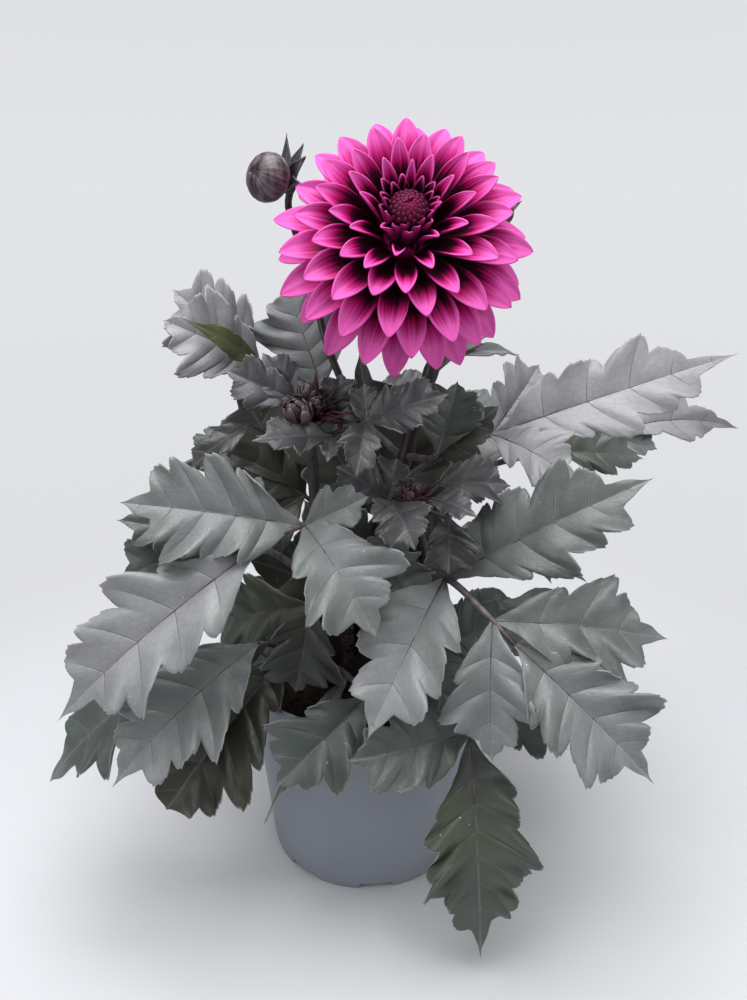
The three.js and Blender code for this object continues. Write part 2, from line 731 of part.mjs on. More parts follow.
// A leaf is one solid with its stalk, cut clear of the stem it grows on. A crown bears several stalks
// on a short axis of its own that goes on from the end of its stem.
function leafSolid(leaf, index) {
  if (leaf.crown) {
    const { stem, path, radii } = crowns[leaf.crown];
    const start = stemCurve(stem, SEAT).getPoint(1);
    const axis = smooth([start, ...path.map(vector)]);
    const pieces = [tube(axis, (t) => radii[0] + (radii[1] - radii[0]) * t, 4, STEM_SIDES)];
    leaf.stalks.forEach((stalk, k) => {
      const root = axis.getPoint(0.45 + 0.5 * (k / leaf.stalks.length));
      pieces.push(...stalkPieces(root, stalk, [1.1, 0.8], TUBE_SIDES - 1, index * 7 + k * 3));
    });
    return largestBody(unionOf(pieces).subtract(stemSolid(stem, SEAT)));
  }
  const root = atHeight(stemCurve(leaf.stem), leaf.height);
  const thick = [PETIOLE_ROOT_RADIUS, PETIOLE_TIP_RADIUS];
  const pieces = stalkPieces(root, leaf, thick, TUBE_SIDES, index * 7);
  return largestBody(unionOf(pieces).subtract(stemSolid(leaf.stem, SEAT)));
}

// The pot: a turned shell with a foot ring, a middle boss, a rim, drain slots and notches in the foot.
function potSolid() {
  const rimFoot = POT_HEIGHT - POT_RIM_HEIGHT;
  const slope = (POT_WALL_TOP_RADIUS - POT_BASE_RADIUS) / rimFoot;
  const wallAt = (z) => POT_BASE_RADIUS + slope * z;
  const floorTop = POT_FOOT_HEIGHT + POT_WALL;
  const profile = [
    [0, 0],
    [0, POT_BOSS_RADIUS],
    [POT_FOOT_HEIGHT, POT_BOSS_RADIUS],
    [POT_FOOT_HEIGHT, POT_BASE_RADIUS - POT_FOOT_WIDTH],
    [0, POT_BASE_RADIUS - POT_FOOT_WIDTH],
    [0, POT_BASE_RADIUS - 1],
    [1.2, POT_BASE_RADIUS],
    [rimFoot, wallAt(rimFoot)],
    [rimFoot + 2, POT_RIM_RADIUS - 1],
    [POT_HEIGHT - 1, POT_RIM_RADIUS],
    [POT_HEIGHT, POT_RIM_RADIUS - 0.8],
    [POT_HEIGHT, POT_RIM_RADIUS - POT_WALL - 0.6],
    [rimFoot + 3, POT_RIM_RADIUS - POT_WALL - 1],
    [rimFoot - 1, wallAt(rimFoot) - POT_WALL],
    [floorTop, wallAt(floorTop) - POT_WALL],
    [floorTop, 0],
  ];
  const up = new THREE.Vector3(0, 0, 1);
  const shell = turned(profile, POT_SIDES, new THREE.Vector3(), up);
  const cutters = [];
  for (let k = 0; k < POT_NOTCHES; k += 1) {
    const turn = degrees((360 / POT_NOTCHES) * k + POT_NOTCH_TURN - 90);
    const outline = new THREE.Shape([
      new THREE.Vector2(-POT_NOTCH_BOTTOM_WIDTH / 2, -1),
      new THREE.Vector2(POT_NOTCH_BOTTOM_WIDTH / 2, -1),
      new THREE.Vector2(POT_NOTCH_TOP_WIDTH / 2, POT_NOTCH_HEIGHT),
      new THREE.Vector2(-POT_NOTCH_TOP_WIDTH / 2, POT_NOTCH_HEIGHT),
    ]);
    const notch = new THREE.ExtrudeGeometry(outline, { depth: 12, bevelEnabled: false });
    notch.rotateX(Math.PI / 2);
    notch.rotateZ(Math.PI / 2);
    notch.translate(POT_BASE_RADIUS - POT_FOOT_WIDTH - 3, 0, 0);
    notch.rotateZ(turn);
    cutters.push(toSolid(notch));
    if (k % 2 === 0) {
      const drain = new THREE.BoxGeometry(7, 12, 8);
      drain.translate(POT_BASE_RADIUS - POT_FOOT_WIDTH - 9, 0, POT_FOOT_HEIGHT + 1);
      drain.rotateZ(turn);
      cutters.push(toSolid(drain));
    }
  }
  return largestBody(shell.subtract(unionOf(cutters)));
}

// The soil: it fills the pot to just under the rim, crumbly on top, with a plain hole for each stem.
function soilSolid() {
  const slope = (POT_WALL_TOP_RADIUS - POT_BASE_RADIUS) / (POT_HEIGHT - POT_RIM_HEIGHT);
  const floor = POT_FOOT_HEIGHT + POT_WALL + SEAT;
  const radiusAt = (z) => POT_BASE_RADIUS + slope * z - POT_WALL - SEAT - 0.2;
  const sides = POT_SIDES;
  const top = POT_HEIGHT - POT_RIM_HEIGHT - 2;
  const points = [new THREE.Vector3(0, 0, floor)];
  const ring = (radius, z, relief) => {
    for (let k = 0; k < sides; k += 1) {
      const angle = (k / sides) * Math.PI * 2;
      const lump = (chance(k, Math.round(radius)) - 0.5) * 2 * relief;
      points.push(new THREE.Vector3(Math.cos(angle) * radius, Math.sin(angle) * radius, z + lump));
    }
  };
  ring(radiusAt(floor), floor, 0);
  ring(radiusAt(top), top, 0);
  for (const share of [0.84, 0.45]) {
    ring(radiusAt(top) * share, SOIL_TOP - 3 * share ** 4, SOIL_RELIEF);
  }
  points.push(new THREE.Vector3(0, 0, SOIL_TOP));
  const triangles = [];
  const rings = (points.length - 2) / sides;
  for (let k = 0; k < sides; k += 1) {
    const next = (k + 1) % sides;
    triangles.push([0, 1 + next, 1 + k]);
    for (let i = 0; i < rings - 1; i += 1) {
      const a = 1 + i * sides;
      triangles.push([a + k, a + next, a + sides + next], [a + k, a + sides + next, a + sides + k]);
    }
    const last = 1 + (rings - 1) * sides;
    triangles.push([last + k, last + next, points.length - 1]);
  }
  const holes = Object.keys(stems).map((name) => stemSolid(name, SEAT + 0.1));
  return largestBody(toSolid(faceted(points, triangles)).subtract(unionOf(holes)));
}

// The bloom's own frame: its axis, and two directions square to it.
const yaw = degrees(BLOOM_YAW);
const pitch = degrees(BLOOM_PITCH);
const bloomAxis = new THREE.Vector3(
  Math.sin(yaw) * Math.cos(pitch),
  -Math.cos(yaw) * Math.cos(pitch),
  Math.sin(pitch),
);
const bloomAcross = new THREE.Vector3(Math.cos(yaw), Math.sin(yaw), 0);
const bloomUp = bloomAxis.clone().cross(bloomAcross).negate();

// A point of the bloom at a polar angle from its axis, an azimuth about it and a radius.
function bloomPoint(angle, azimuth, radius) {
  const out = bloomAcross.clone().multiplyScalar(Math.cos(azimuth));
  out.addScaledVector(bloomUp, Math.sin(azimuth));
  return BLOOM_CENTRE.clone()
    .addScaledVector(bloomAxis, Math.cos(angle) * radius)
    .addScaledVector(out, Math.sin(angle) * radius);
}

// How far petal tips lie from the bloom's centre at an angle from its axis: a somewhat flattened ball.
function domeRadius(angle) {
  return BLOOM_FRONT + (BLOOM_RADIUS - BLOOM_FRONT) * Math.min(1, angle / degrees(90));
}

// One petal of the spiral, from the heart (share 0) to the back (share 1): a spoon with a narrow claw.
// The first ones stand along the heart and the later ones bend out and back towards a pointed tip.
function petalSolid(index) {
  const share = index / (PETALS - 1);
  const azimuth = degrees(index * GOLDEN_ANGLE);
  const rootOut = 7 + 1.5 * Math.sin(Math.PI * share);
  const rootAlong = 7.5 - 12 * share;
  const root = bloomPoint(Math.atan2(rootOut, rootAlong), azimuth, Math.hypot(rootOut, rootAlong));
  const tipAngle = degrees(21 + 91 * share ** 0.9 + 4 * (chance(index, 1) - 0.5));
  const tip = bloomPoint(tipAngle, azimuth, domeRadius(tipAngle) * (0.97 + 0.06 * chance(index, 2)));
  const lean = tipAngle - degrees(4 + 18 * share);
  const reach = 10 + root.distanceTo(tip) * 0.5;
  const arc = new THREE.QuadraticBezierCurve3(root, bloomPoint(lean, azimuth, reach), tip);
  const width = 5.5 + 8.5 * Math.min(1, share * 2.2);
  const out = bloomPoint(Math.PI / 2, azimuth, 1).sub(BLOOM_CENTRE);
  const side = bloomAxis.clone().cross(out);
  const rows = [];
  const normals = [];
  for (const [t, wide, cup] of PETAL_ROWS) {
    const inner = arc.getTangent(t).cross(side).normalize();
    const half = (width / 2) * wide;
    rows.push([-1, 0, 1].map((s) => arc.getPoint(t)
      .addScaledVector(side, s * half)
      .addScaledVector(inner, s * s * half * cup)));
    normals.push(inner);
  }
  rows.push([arc.getPoint(1)]);
  normals.push(normals[normals.length - 1]);
  return slab(rows, normals, PETAL_THICKNESS);
}

function heartSolid(extra = 0) {
  const profile = [[-15, 0], [-15, 5], [-6, 6.4], [-1, 7.8], [3, 7.6], [6.4, 5.6], [8.4, 2.8], [9, 0]];
  const grown = profile.map(([along, radius]) => [
    along + Math.sign(along + 8) * extra,
    radius && radius + extra,
  ]);
  const origin = BLOOM_CENTRE.clone().addScaledVector(bloomAxis, HEART_MIDDLE);
  return turned(grown, 14, origin, bloomAxis, HEART_RELIEF);
}

function bloomSolid() {
  const core = new THREE.IcosahedronGeometry(RECEPTACLE_RADIUS, 1);
  core.translate(BLOOM_CENTRE.x, BLOOM_CENTRE.y, BLOOM_CENTRE.z);
  const pieces = [toSolid(core)];
  for (let i = 0; i < PETALS; i += 1) pieces.push(petalSolid(i));
  return largestBody(unionOf(pieces).subtract(heartSolid(SEAT)));
}

// The green cup behind the bloom, with its bent-back bracts.
function calyxSolid() {
  const back = bloomAxis.clone().negate();
  const seat = RECEPTACLE_RADIUS + SEAT;
  const profile = [[0, 0], [0, 7.5], [3, 7], [6, 4.2], [7.5, 3.6], [7.5, 0]];
  const origin = BLOOM_CENTRE.clone().addScaledVector(back, seat);
  const pieces = [turned(profile, 10, origin, back)];
  for (let k = 0; k < CALYX_BRACTS; k += 1) {
    const azimuth = (k / CALYX_BRACTS) * Math.PI * 2 + 0.3;
    const root = bloomPoint(Math.PI * 0.86, azimuth, seat + 2.5);
    const tip = bloomPoint(Math.PI * 0.74, azimuth, 30 + 3 * chance(k, 5));
    pieces.push(bract(root, tip, bloomAxis, 8, 0.12, 0.4));
  }
  return largestBody(unionOf(pieces).subtract(stemSolid("stem_bloom", SEAT)));
}

// A closed bud: a flattened ball on a neck, with narrow bracts about its neck.
function budSolid({ neck, centre, radius, flat, bracts }) {
  const foot = vector(neck);
  const middle = vector(centre);
  const axis = middle.clone().sub(foot);
  const reach = axis.length();
  axis.normalize();
  const half = radius * flat;
  const profile = [
    [0, 0],
    [0, 2.4],
    [reach - half * 0.95, 3.6],
    [reach - half * 0.7, radius * 0.72],
    [reach - half * 0.1, radius],
    [reach + half * 0.55, radius * 0.8],
    [reach + half * 0.9, radius * 0.4],
    [reach + half, 0],
  ];
  const pieces = [turned(profile, 10, foot, axis, BUD_RELIEF)];
  for (const { tip, width = 5 } of bracts) {
    const end = vector(tip);
    const root = foot.clone().addScaledVector(axis, 1.2);
    const outward = end.clone().sub(root).normalize();
    pieces.push(bract(root.addScaledVector(outward, 1.4), end, axis, width, -0.1, 0.4));
  }
  return unionOf(pieces);
}

const buds = {
  bud_left: {
    neck: [-30, 1, 316],
    centre: [-38, -8, 320],
    radius: 9.6,
    flat: 0.8,
    bracts: [
      { tip: [-31, 3, 337], width: 3.4 },
      { tip: [-24, 0, 333] },
      { tip: [-24, -9, 326], width: 6 },
      { tip: [-25, -12, 318] },
      { tip: [-36, 10, 324] },
    ],
  },
  bud_right: {
    neck: [56, 26, 298],
    centre: [58, 24, 306],
    radius: 6.5,
    flat: 0.9,
    bracts: [
      { tip: [68, 24, 311], width: 4 },
      { tip: [50, 26, 306] },
    ],
  },
};

// Knots of young buds on top of the leafy crowns: balls as [x, y, z, radius] and bracts as their tips.
const knots = {
  buds_left: {
    foot: [-21, -34, 229.4],
    balls: [[-26, -40, 236, 5.4], [-19, -40, 237, 2.8], [-31, -37, 236, 2.8], [-22, -37, 241, 3.6]],
    bracts: [[-19, -38, 250], [-25, -46, 233], [-15, -46, 238]],
  },
  buds_right: {
    foot: [19, -48, 199.4],
    balls: [[18, -51, 203, 2.6], [21, -50, 205, 2]],
    bracts: [[15, -54, 206], [25, -52, 208]],
  },
};

function knotSolid({ foot, balls, bracts }, crown) {
  const root = vector(foot);
  const pieces = balls.map(([x, y, z, radius]) => {
    const middle = new THREE.Vector3(x, y, z);
    const reach = middle.distanceTo(root);
    const axis = middle.sub(root).normalize();
    const profile = [
      [0, 0],
      [0, 1.4],
      [reach - radius * 0.5, radius * 0.8],
      [reach, radius],
      [reach + radius * 0.7, radius * 0.62],
      [reach + radius * 1.1, 0],
    ];
    return turned(profile, 6, root, axis);
  });
  for (const tip of bracts) {
    const end = vector(tip);
    const outward = end.clone().sub(root).normalize();
    const face = root.clone().sub(end).setZ(0);
    pieces.push(bract(root.clone().addScaledVector(outward, 0.8), end, face, 4, 0.1, 0.4));
  }
  const { path, radii } = crowns[crown];
  const axis = smooth([stemCurve(crowns[crown].stem, SEAT).getPoint(1), ...path.map(vector)]);
  const cutter = tube(axis, (t) => radii[0] + (radii[1] - radii[0]) * t + SEAT, 4, STEM_SIDES);
  return largestBody(unionOf(pieces).subtract(cutter));
}

const colours = {
  pot: [0x747a82, 0.5],
  soil: [0x2a211b, 0.95],
  stem: [0x35222a, 0.5],
  leaf: [0x515956, 0.5],
  young: [0x4d494c, 0.5],
  petal: [0xd2379c, 0.5],
  heart: [0x5a0a35, 0.5],
  calyx: [0x3c4230, 0.55],
  bud: [0x45343f, 0.45],
};
const materials = Object.fromEntries(
  Object.entries(colours).map(([name, [color, roughness]]) => [
    name,
    new THREE.MeshStandardMaterial({ name, color, roughness, metalness: 0 }),
  ]),
);

const plant = new THREE.Group();
plant.name = "potted_dahlia";

function add(name, material, solid) {
  const mesh = new THREE.Mesh(toGeometry(solid), materials[material]);
  mesh.name = name;
  plant.add(mesh);
}

add("pot", "pot", potSolid());
add("soil", "soil", soilSolid());
Object.keys(stems).forEach((name) => add(name, "stem", stemSolid(name)));
leaves.forEach((leaf, i) => add(leaf.name, leaf.crown ? "young" : "leaf", leafSolid(leaf, i)));
add("bloom_petals", "petal", bloomSolid());
add("bloom_heart", "heart", heartSolid());
add("bloom_calyx", "calyx", calyxSolid());
Object.entries(buds).forEach(([name, spec]) => {
  add(name, "bud", largestBody(budSolid(spec).subtract(stemSolid("stem_bloom", SEAT))));
});

add("buds_left", "bud", knotSolid(knots.buds_left, "young_left"));
add("buds_right", "bud", knotSolid(knots.buds_right, "young_right"));

export default plant;
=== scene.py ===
"""A potted dahlia with dark cut leaves and one double magenta bloom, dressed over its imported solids."""

import functools
import math

import bpy
import numpy as np
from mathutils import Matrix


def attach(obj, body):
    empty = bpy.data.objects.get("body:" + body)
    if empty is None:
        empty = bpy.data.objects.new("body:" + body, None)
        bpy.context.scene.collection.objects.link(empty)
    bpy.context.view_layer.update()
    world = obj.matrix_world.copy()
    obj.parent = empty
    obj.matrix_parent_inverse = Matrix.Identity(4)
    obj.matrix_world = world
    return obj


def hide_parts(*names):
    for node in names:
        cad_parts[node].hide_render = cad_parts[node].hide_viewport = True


bl_info = {
    "name": "Potted dahlia",
    "version": (1, 0, 0),
    "blender": (4, 5, 0),
    "location": "3D View > Sidebar > Dahlia",
    "description": "Builds the pot, soil, stems, cut leaves, buds and bloom of a potted dahlia",
    "category": "Add Mesh",
}

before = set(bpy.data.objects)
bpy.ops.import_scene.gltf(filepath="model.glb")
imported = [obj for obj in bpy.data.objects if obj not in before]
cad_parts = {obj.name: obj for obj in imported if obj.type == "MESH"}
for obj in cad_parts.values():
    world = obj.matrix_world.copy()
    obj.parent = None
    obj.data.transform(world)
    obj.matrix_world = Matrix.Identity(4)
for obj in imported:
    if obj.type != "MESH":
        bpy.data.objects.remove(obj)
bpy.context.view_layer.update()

# All sizes below are in millimetres; a piece is turned to metres when its mesh is made.
PER_METRE = 1000.0
GOLDEN_ANGLE = math.radians(137.508)

# The pot: the band of its rim, the wall below it, and the drain notches in its foot.
RIM_BAND = 14.0
WALL_TOP_RADIUS = 56.5
WALL = 1.6
NOTCHES = 8
NOTCH_TURN = math.radians(5.5 - 90)
NOTCH_HALF_WIDTH = 8.6
NOTCH_SLOPE = 1.1
NOTCH_HEIGHT = 3.4
POT_SIDES = 288
SHARP_ANGLE = math.radians(38)

# The soil's mound and its loose crumbs.
SOIL_TOP = 89.0
SOIL_RADIUS = 54.0
SOIL_SIDES = 96
CRUMBS = 420

# Where a leaflet's lobes start and end along its midrib, and where each lobe comes to its point.
LOBE_START = 0.1
LOBE_END = 0.77
LOBE_PEAK = 0.66

# How far a stem swells at a leaf's joint, and how far up and down; the radii of a leaf's stalk at its foot
# and its end, and those of a young leaf's.
JOINT_SWELL = 0.55
JOINT_REACH = 2.6
STALK_RADII = (2.0, 1.1)
YOUNG_STALK_RADII = (1.1, 0.8)

STEMS = dict(
    stem_bloom=dict(
        path=((8, 4, 61), (10, 5, 110), (14, 5, 160), (19, 2, 205), (28, 3, 238), (33, 5, 258), (26, -1, 277),
              (15, -10, 287)),
        radii=(4.6, 2.6),
        branches=(
            dict(start=172, radii=(1.9, 1.5), path=(
                (2, 4, 205), (-6, 4, 225), (-17, 11, 251), (-23, 17, 274), (-29, 16, 295), (-32, 9, 309),
                (-30, 1, 316))),
            dict(start=226, radii=(1.7, 1.4), path=(
                (34, 14, 244), (46, 26, 262), (54, 29, 285), (56, 26, 298))),
        ),
    ),
    stem_left=dict(path=((-14, -4, 61), (-16, -6, 110), (-20, -14, 160), (-22, -24, 198), (-22, -28, 212)),
                   radii=(4.2, 2.2)),
    stem_right=dict(path=((21, -14, 61), (24, -17, 105), (27, -26, 150), (23, -38, 180), (21, -43, 188)),
                    radii=(3.8, 2.0)),
    stem_back=dict(path=((-2, 22, 61), (-4, 26, 110), (-8, 34, 160), (-6, 40, 200)), radii=(4.0, 2.0)),
)


def blade(joint, tip, face, width, arch=0.1, **more):
    """A leaflet: the joint of its stalk that it leaves, its tip, the way its upper side faces, its width, and
    how far it bows as a share of its length."""
    return dict(at=joint, tip=tip, face=face, width=width, arch=arch, **more)


def stalk(wax, way, *leaflets):
    """A leaf stalk: how much more or less of the silvery wax its leaflets show than others, which also paints
    light on them, a painted sheen on the lit upper leaves and painted shade on the inner ones; its joints
    from the stem on, and the leaflets."""
    return dict(wax=wax, way=way, leaflets=leaflets)


def leaf(name, stem, height, wax, way, *leaflets):
    """A compound leaf: the stalk that leaves a stem at a height."""
    return dict(name=name, stem=stem, height=height, **stalk(wax, way, *leaflets))


# The outer leaves come first in the order of seeds, then the young clusters, then the leaves inside, which
# their low wax offsets paint dark as painted shade.
OUTER_LEAVES = 19
LEAVES = (
    leaf("leaf_front_right", "stem_right", 140, -0.14, ((33, -48, 165), (50, -72, 158), (58, -78, 151)),
         blade(1, (113, -52, 210), (-0.15, -0.8, 0.6), 44, lobes=4),
         blade(1, (1, -96, 120), (-0.1, -0.8, 0.6), 42, 0.2, wax=0.35),
         blade(2, (119, -72, 150), (0.1, -0.7, 0.7), 38, 0.14),
         blade(2, (50, -90, 106), (-0.3, -0.85, 0.4), 36, 0.2),
         blade(3, (108, -106, 108), (0.1, -0.85, 0.5), 46, 0.16, lobes=4, taper=3.6)),
    leaf("leaf_left", "stem_left", 158, 0.25, ((-24, -52, 190), (-39, -60, 186)),
         blade(1, (-95, -58, 202), (0, -0.85, 0.5), 44, 0.12, lobes=4, wax=-0.05),
         blade(1, (2, -54, 203), (0, -0.85, 0.5), 22, lobes=2, wax=-0.6),
         blade(1, (5, -86, 158), (0.1, -0.75, 0.6), 42, 0.25, wax=-0.08),
         blade(2, (-123, -78, 116), (0.1, -0.75, 0.65), 48, 0.2, widest=0.42, taper=3.4, lobes=4, wax=0.2)),
    leaf("leaf_left_behind", "stem_left", 142, -0.35, ((-45, -18, 165), (-62, -26, 172)),
         blade(2, (-104, -36, 186), (0, -0.8, 0.6), 26, 0.15),
         blade(2, (-106, -36, 158), (-0.1, -0.8, 0.6), 34, 0.15),
         blade(1, (-58, 2, 192), (-0.1, -0.8, 0.6), 26, 0.15, lobes=2)),
    leaf("leaf_left_inner", "stem_left", 126, -0.9, ((-24, -32, 144),),
         blade(1, (-74, -12, 126), (0, -0.9, 0.4), 38, 0.08),
         blade(1, (-31, -45, 108), (0.1, -0.9, 0.3), 36, 0.2)),
    leaf("leaf_middle_inner", "stem_bloom", 140, -0.5, ((8, -26, 162),),
         blade(1, (22, -46, 152), (0.1, -0.9, 0.4), 28, 0.2),
         blade(1, (-16, -42, 148), (-0.1, -0.9, 0.4), 26, 0.2, lobes=2),
         blade(1, (14, -44, 188), (0, -0.9, 0.4), 24, 0.15)),
    leaf("leaf_right_inner", "stem_right", 118, -0.6, ((33, -44, 132),),
         blade(1, (30, -68, 112), (0, -0.9, 0.4), 30, 0.2),
         blade(1, (62, -50, 149), (0.1, -0.9, 0.4), 34, 0.2)),
    leaf("leaf_lower_left", "stem_left", 108, 0.2, ((-33, -30, 122), (-46, -42, 131)),
         blade(2, (-103, -82, 87), (-0.2, -0.8, 0.6), 50, 0.23, lobes=4, taper=3.2),
         blade(2, (-140, -56, 69), (-0.4, -0.5, 0.75), 42, 0.26, widest=0.48, fold=5, lobes=4, wax=-0.5),
         blade(1, (-86, -68, 64), (-0.2, -0.9, 0.35), 52, 0.16, widest=0.52, lobes=4, wax=-1.3)),
    leaf("leaf_lower_centre", "stem_left", 96, -0.55, ((-8, -38, 112), (2, -60, 116)),
         blade(2, (-37, -81, 86), (0, -0.8, 0.6), 38, 0.15),
         blade(1, (-43, -76, 63), (0, -0.8, 0.6), 15, 0.35, twist=70, lobes=2)),
    leaf("leaf_hanging", "stem_right", 98, -0.55, ((36, -52, 112), (43, -74, 108)),
         blade(2, (49, -95, 9), (0, -0.95, 0.3), 46, 0.12, lobes=6, depth=0.2, widest=0.38, taper=3.5),
         blade(2, (-7, -90, 106), (0.1, -0.85, 0.5), 36, 0.16),
         blade(1, (84, -72, 98), (0.2, -0.6, 0.8), 32, 0.2)),
    leaf("leaf_top_right", "stem_bloom", 192, 0.45, ((38, -6, 207), (54, -12, 216)),
         blade(2, (164, 6, 248), (0, -0.85, 0.5), 41, 0.06, widest=0.4, taper=3.3, lobes=4),
         blade(2, (79, 18, 241), (0.1, -0.9, 0.3), 30),
         blade(2, (88, -34, 201), (0.1, -0.7, 0.7), 30, 0.2)),
    leaf("leaf_right_behind", "stem_bloom", 160, 0.15, ((50, 14, 190), (83, 12, 201), (113, 30, 203)),
         blade(2, (130, 14, 197), (0, -0.7, 0.7), 26, 0.12),
         blade(3, (140, 26, 198), (0, -0.7, 0.7), 20, 0.12, lobes=2),
         blade(3, (186, 45, 203), (0, -0.3, 0.9), 22, 0.2, twist=100, wax=0.7),
         blade(1, (96, 66, 190), (0.2, 0.2, 0.9), 34, 0.2, lobes=2)),
    leaf("leaf_below_bloom", "stem_bloom", 202, -0.9, ((28, -20, 208), (30, -26, 212)),
         blade(2, (38, -22, 242), (0.15, -1, 0.2), 28),
         blade(1, (56, -22, 232), (0.1, -1, 0.2), 22, lobes=2)),
    leaf("leaf_bloom_stalk", "stem_bloom", 240, 0, ((38, 8, 246),),
         blade(1, (69, 22, 244), (0, -0.5, 0.85), 11, 0.2, lobes=2, depth=0.2),
         blade(1, (57, 22, 256), (-0.3, -0.6, 0.7), 10, lobes=2, depth=0.2)),
    leaf("leaf_top_left", "stem_bloom", 200, 0.4, ((-20, 20, 229), (-48, 17, 241)),
         blade(2, (-86, 20, 274), (0.1, -0.9, 0.4), 42, 0.05),
         blade(2, (-87, 2, 263), (-0.2, -0.85, 0.5), 40, 0.15),
         # A leaflet painted olive for light shining through it, which only this file adds.
         blade(2, (-78, -4, 265), (-0.2, -0.85, 0.5), 10, 0.3, fold=4, lobes=2, depth=0.2, wax=-3.1),
         blade(1, (-36, 30, 274), (0, -0.95, 0.2), 42, 0.05, lobes=4, depth=0.15)),
    leaf("leaf_back_left", "stem_back", 170, -0.2, ((-34, 48, 190), (-54, 58, 192)),
         blade(2, (-112, 72, 150), (-0.2, 0.2, 1), 44, 0.2),
         blade(1, (-66, 112, 180), (-0.1, 0.3, 1), 40, 0.25, lobes=2),
         blade(2, (-82, 30, 186), (0, -0.6, 0.8), 34, 0.2, lobes=2)),
    leaf("leaf_back_right", "stem_back", 178, -0.2, ((14, 56, 194), (30, 68, 194)),
         blade(2, (92, 92, 168), (0.2, 0.2, 1), 44, 0.25),
         blade(1, (20, 122, 178), (0, 0.3, 1), 40, 0.25, lobes=2),
         blade(2, (72, 56, 214), (0, -0.5, 0.8), 32, 0.2, lobes=2)),
    leaf("leaf_back_lower_left", "stem_back", 118, -0.5, ((-34, 42, 132), (-52, 52, 134)),
         blade(2, (-116, 84, 96), (-0.3, 0.3, 0.9), 48, 0.25),
         blade(1, (-54, 112, 84), (-0.1, 0.6, 0.8), 42, 0.25, lobes=2),
         blade(2, (-122, 14, 110), (-0.2, -0.3, 0.9), 42, 0.25, lobes=2)),
    leaf("leaf_back_lower_right", "stem_back", 126, -0.5, ((26, 46, 136), (44, 56, 138)),
         blade(2, (108, 84, 98), (0.3, 0.3, 0.9), 48, 0.25),
         blade(1, (44, 116, 86), (0.1, 0.6, 0.8), 42, 0.25, lobes=2),
         blade(2, (112, 24, 128), (0.2, -0.2, 0.9), 40, 0.25, lobes=2)),
    leaf("leaf_right_lower", "stem_bloom", 112, -0.4, ((44, -2, 128), (62, -6, 132)),
         blade(2, (126, -16, 92), (0.3, -0.3, 0.9), 46, 0.25),
         blade(2, (84, -52, 112), (0.2, -0.6, 0.8), 34, 0.2),
         blade(1, (100, 34, 84), (0.4, 0.2, 0.9), 36, 0.25, lobes=2)),
    leaf("leaf_centre_behind", "stem_back", 140, -1.1, ((6, 24, 164),),
         blade(1, (28, 22, 234), (0, -0.95, 0.3), 46, 0.05, lobes=2),
         blade(1, (-32, 22, 226), (0, -0.95, 0.3), 42, 0.05, lobes=2),
         blade(1, (-3, 30, 246), (0, -0.95, 0.3), 36, 0.05, lobes=2),
         blade(1, (54, 28, 198), (0, -0.9, 0.4), 38, lobes=2)),
    leaf("leaf_left_middle", "stem_back", 152, -1.1, ((-30, 26, 174),),
         blade(1, (-66, 24, 200), (0, -0.9, 0.4), 36, lobes=2),
         blade(1, (-62, 32, 228), (0, -0.9, 0.4), 42, 0.05, lobes=2),
         blade(1, (-72, 8, 150), (0, -0.8, 0.6), 36, 0.2, lobes=2)),
    leaf("leaf_low_behind", "stem_back", 104, -1.2, ((8, 16, 122),),
         blade(1, (51, 5, 167), (0, -0.8, 0.6), 44, 0.15, lobes=2),
         blade(1, (-70, 14, 106), (0, -0.85, 0.5), 50, lobes=2),
         blade(1, (-30, 14, 177), (0, -0.95, 0.3), 50, lobes=2),
         blade(1, (-58, 4, 151), (0, -0.95, 0.3), 44, lobes=2)),
)

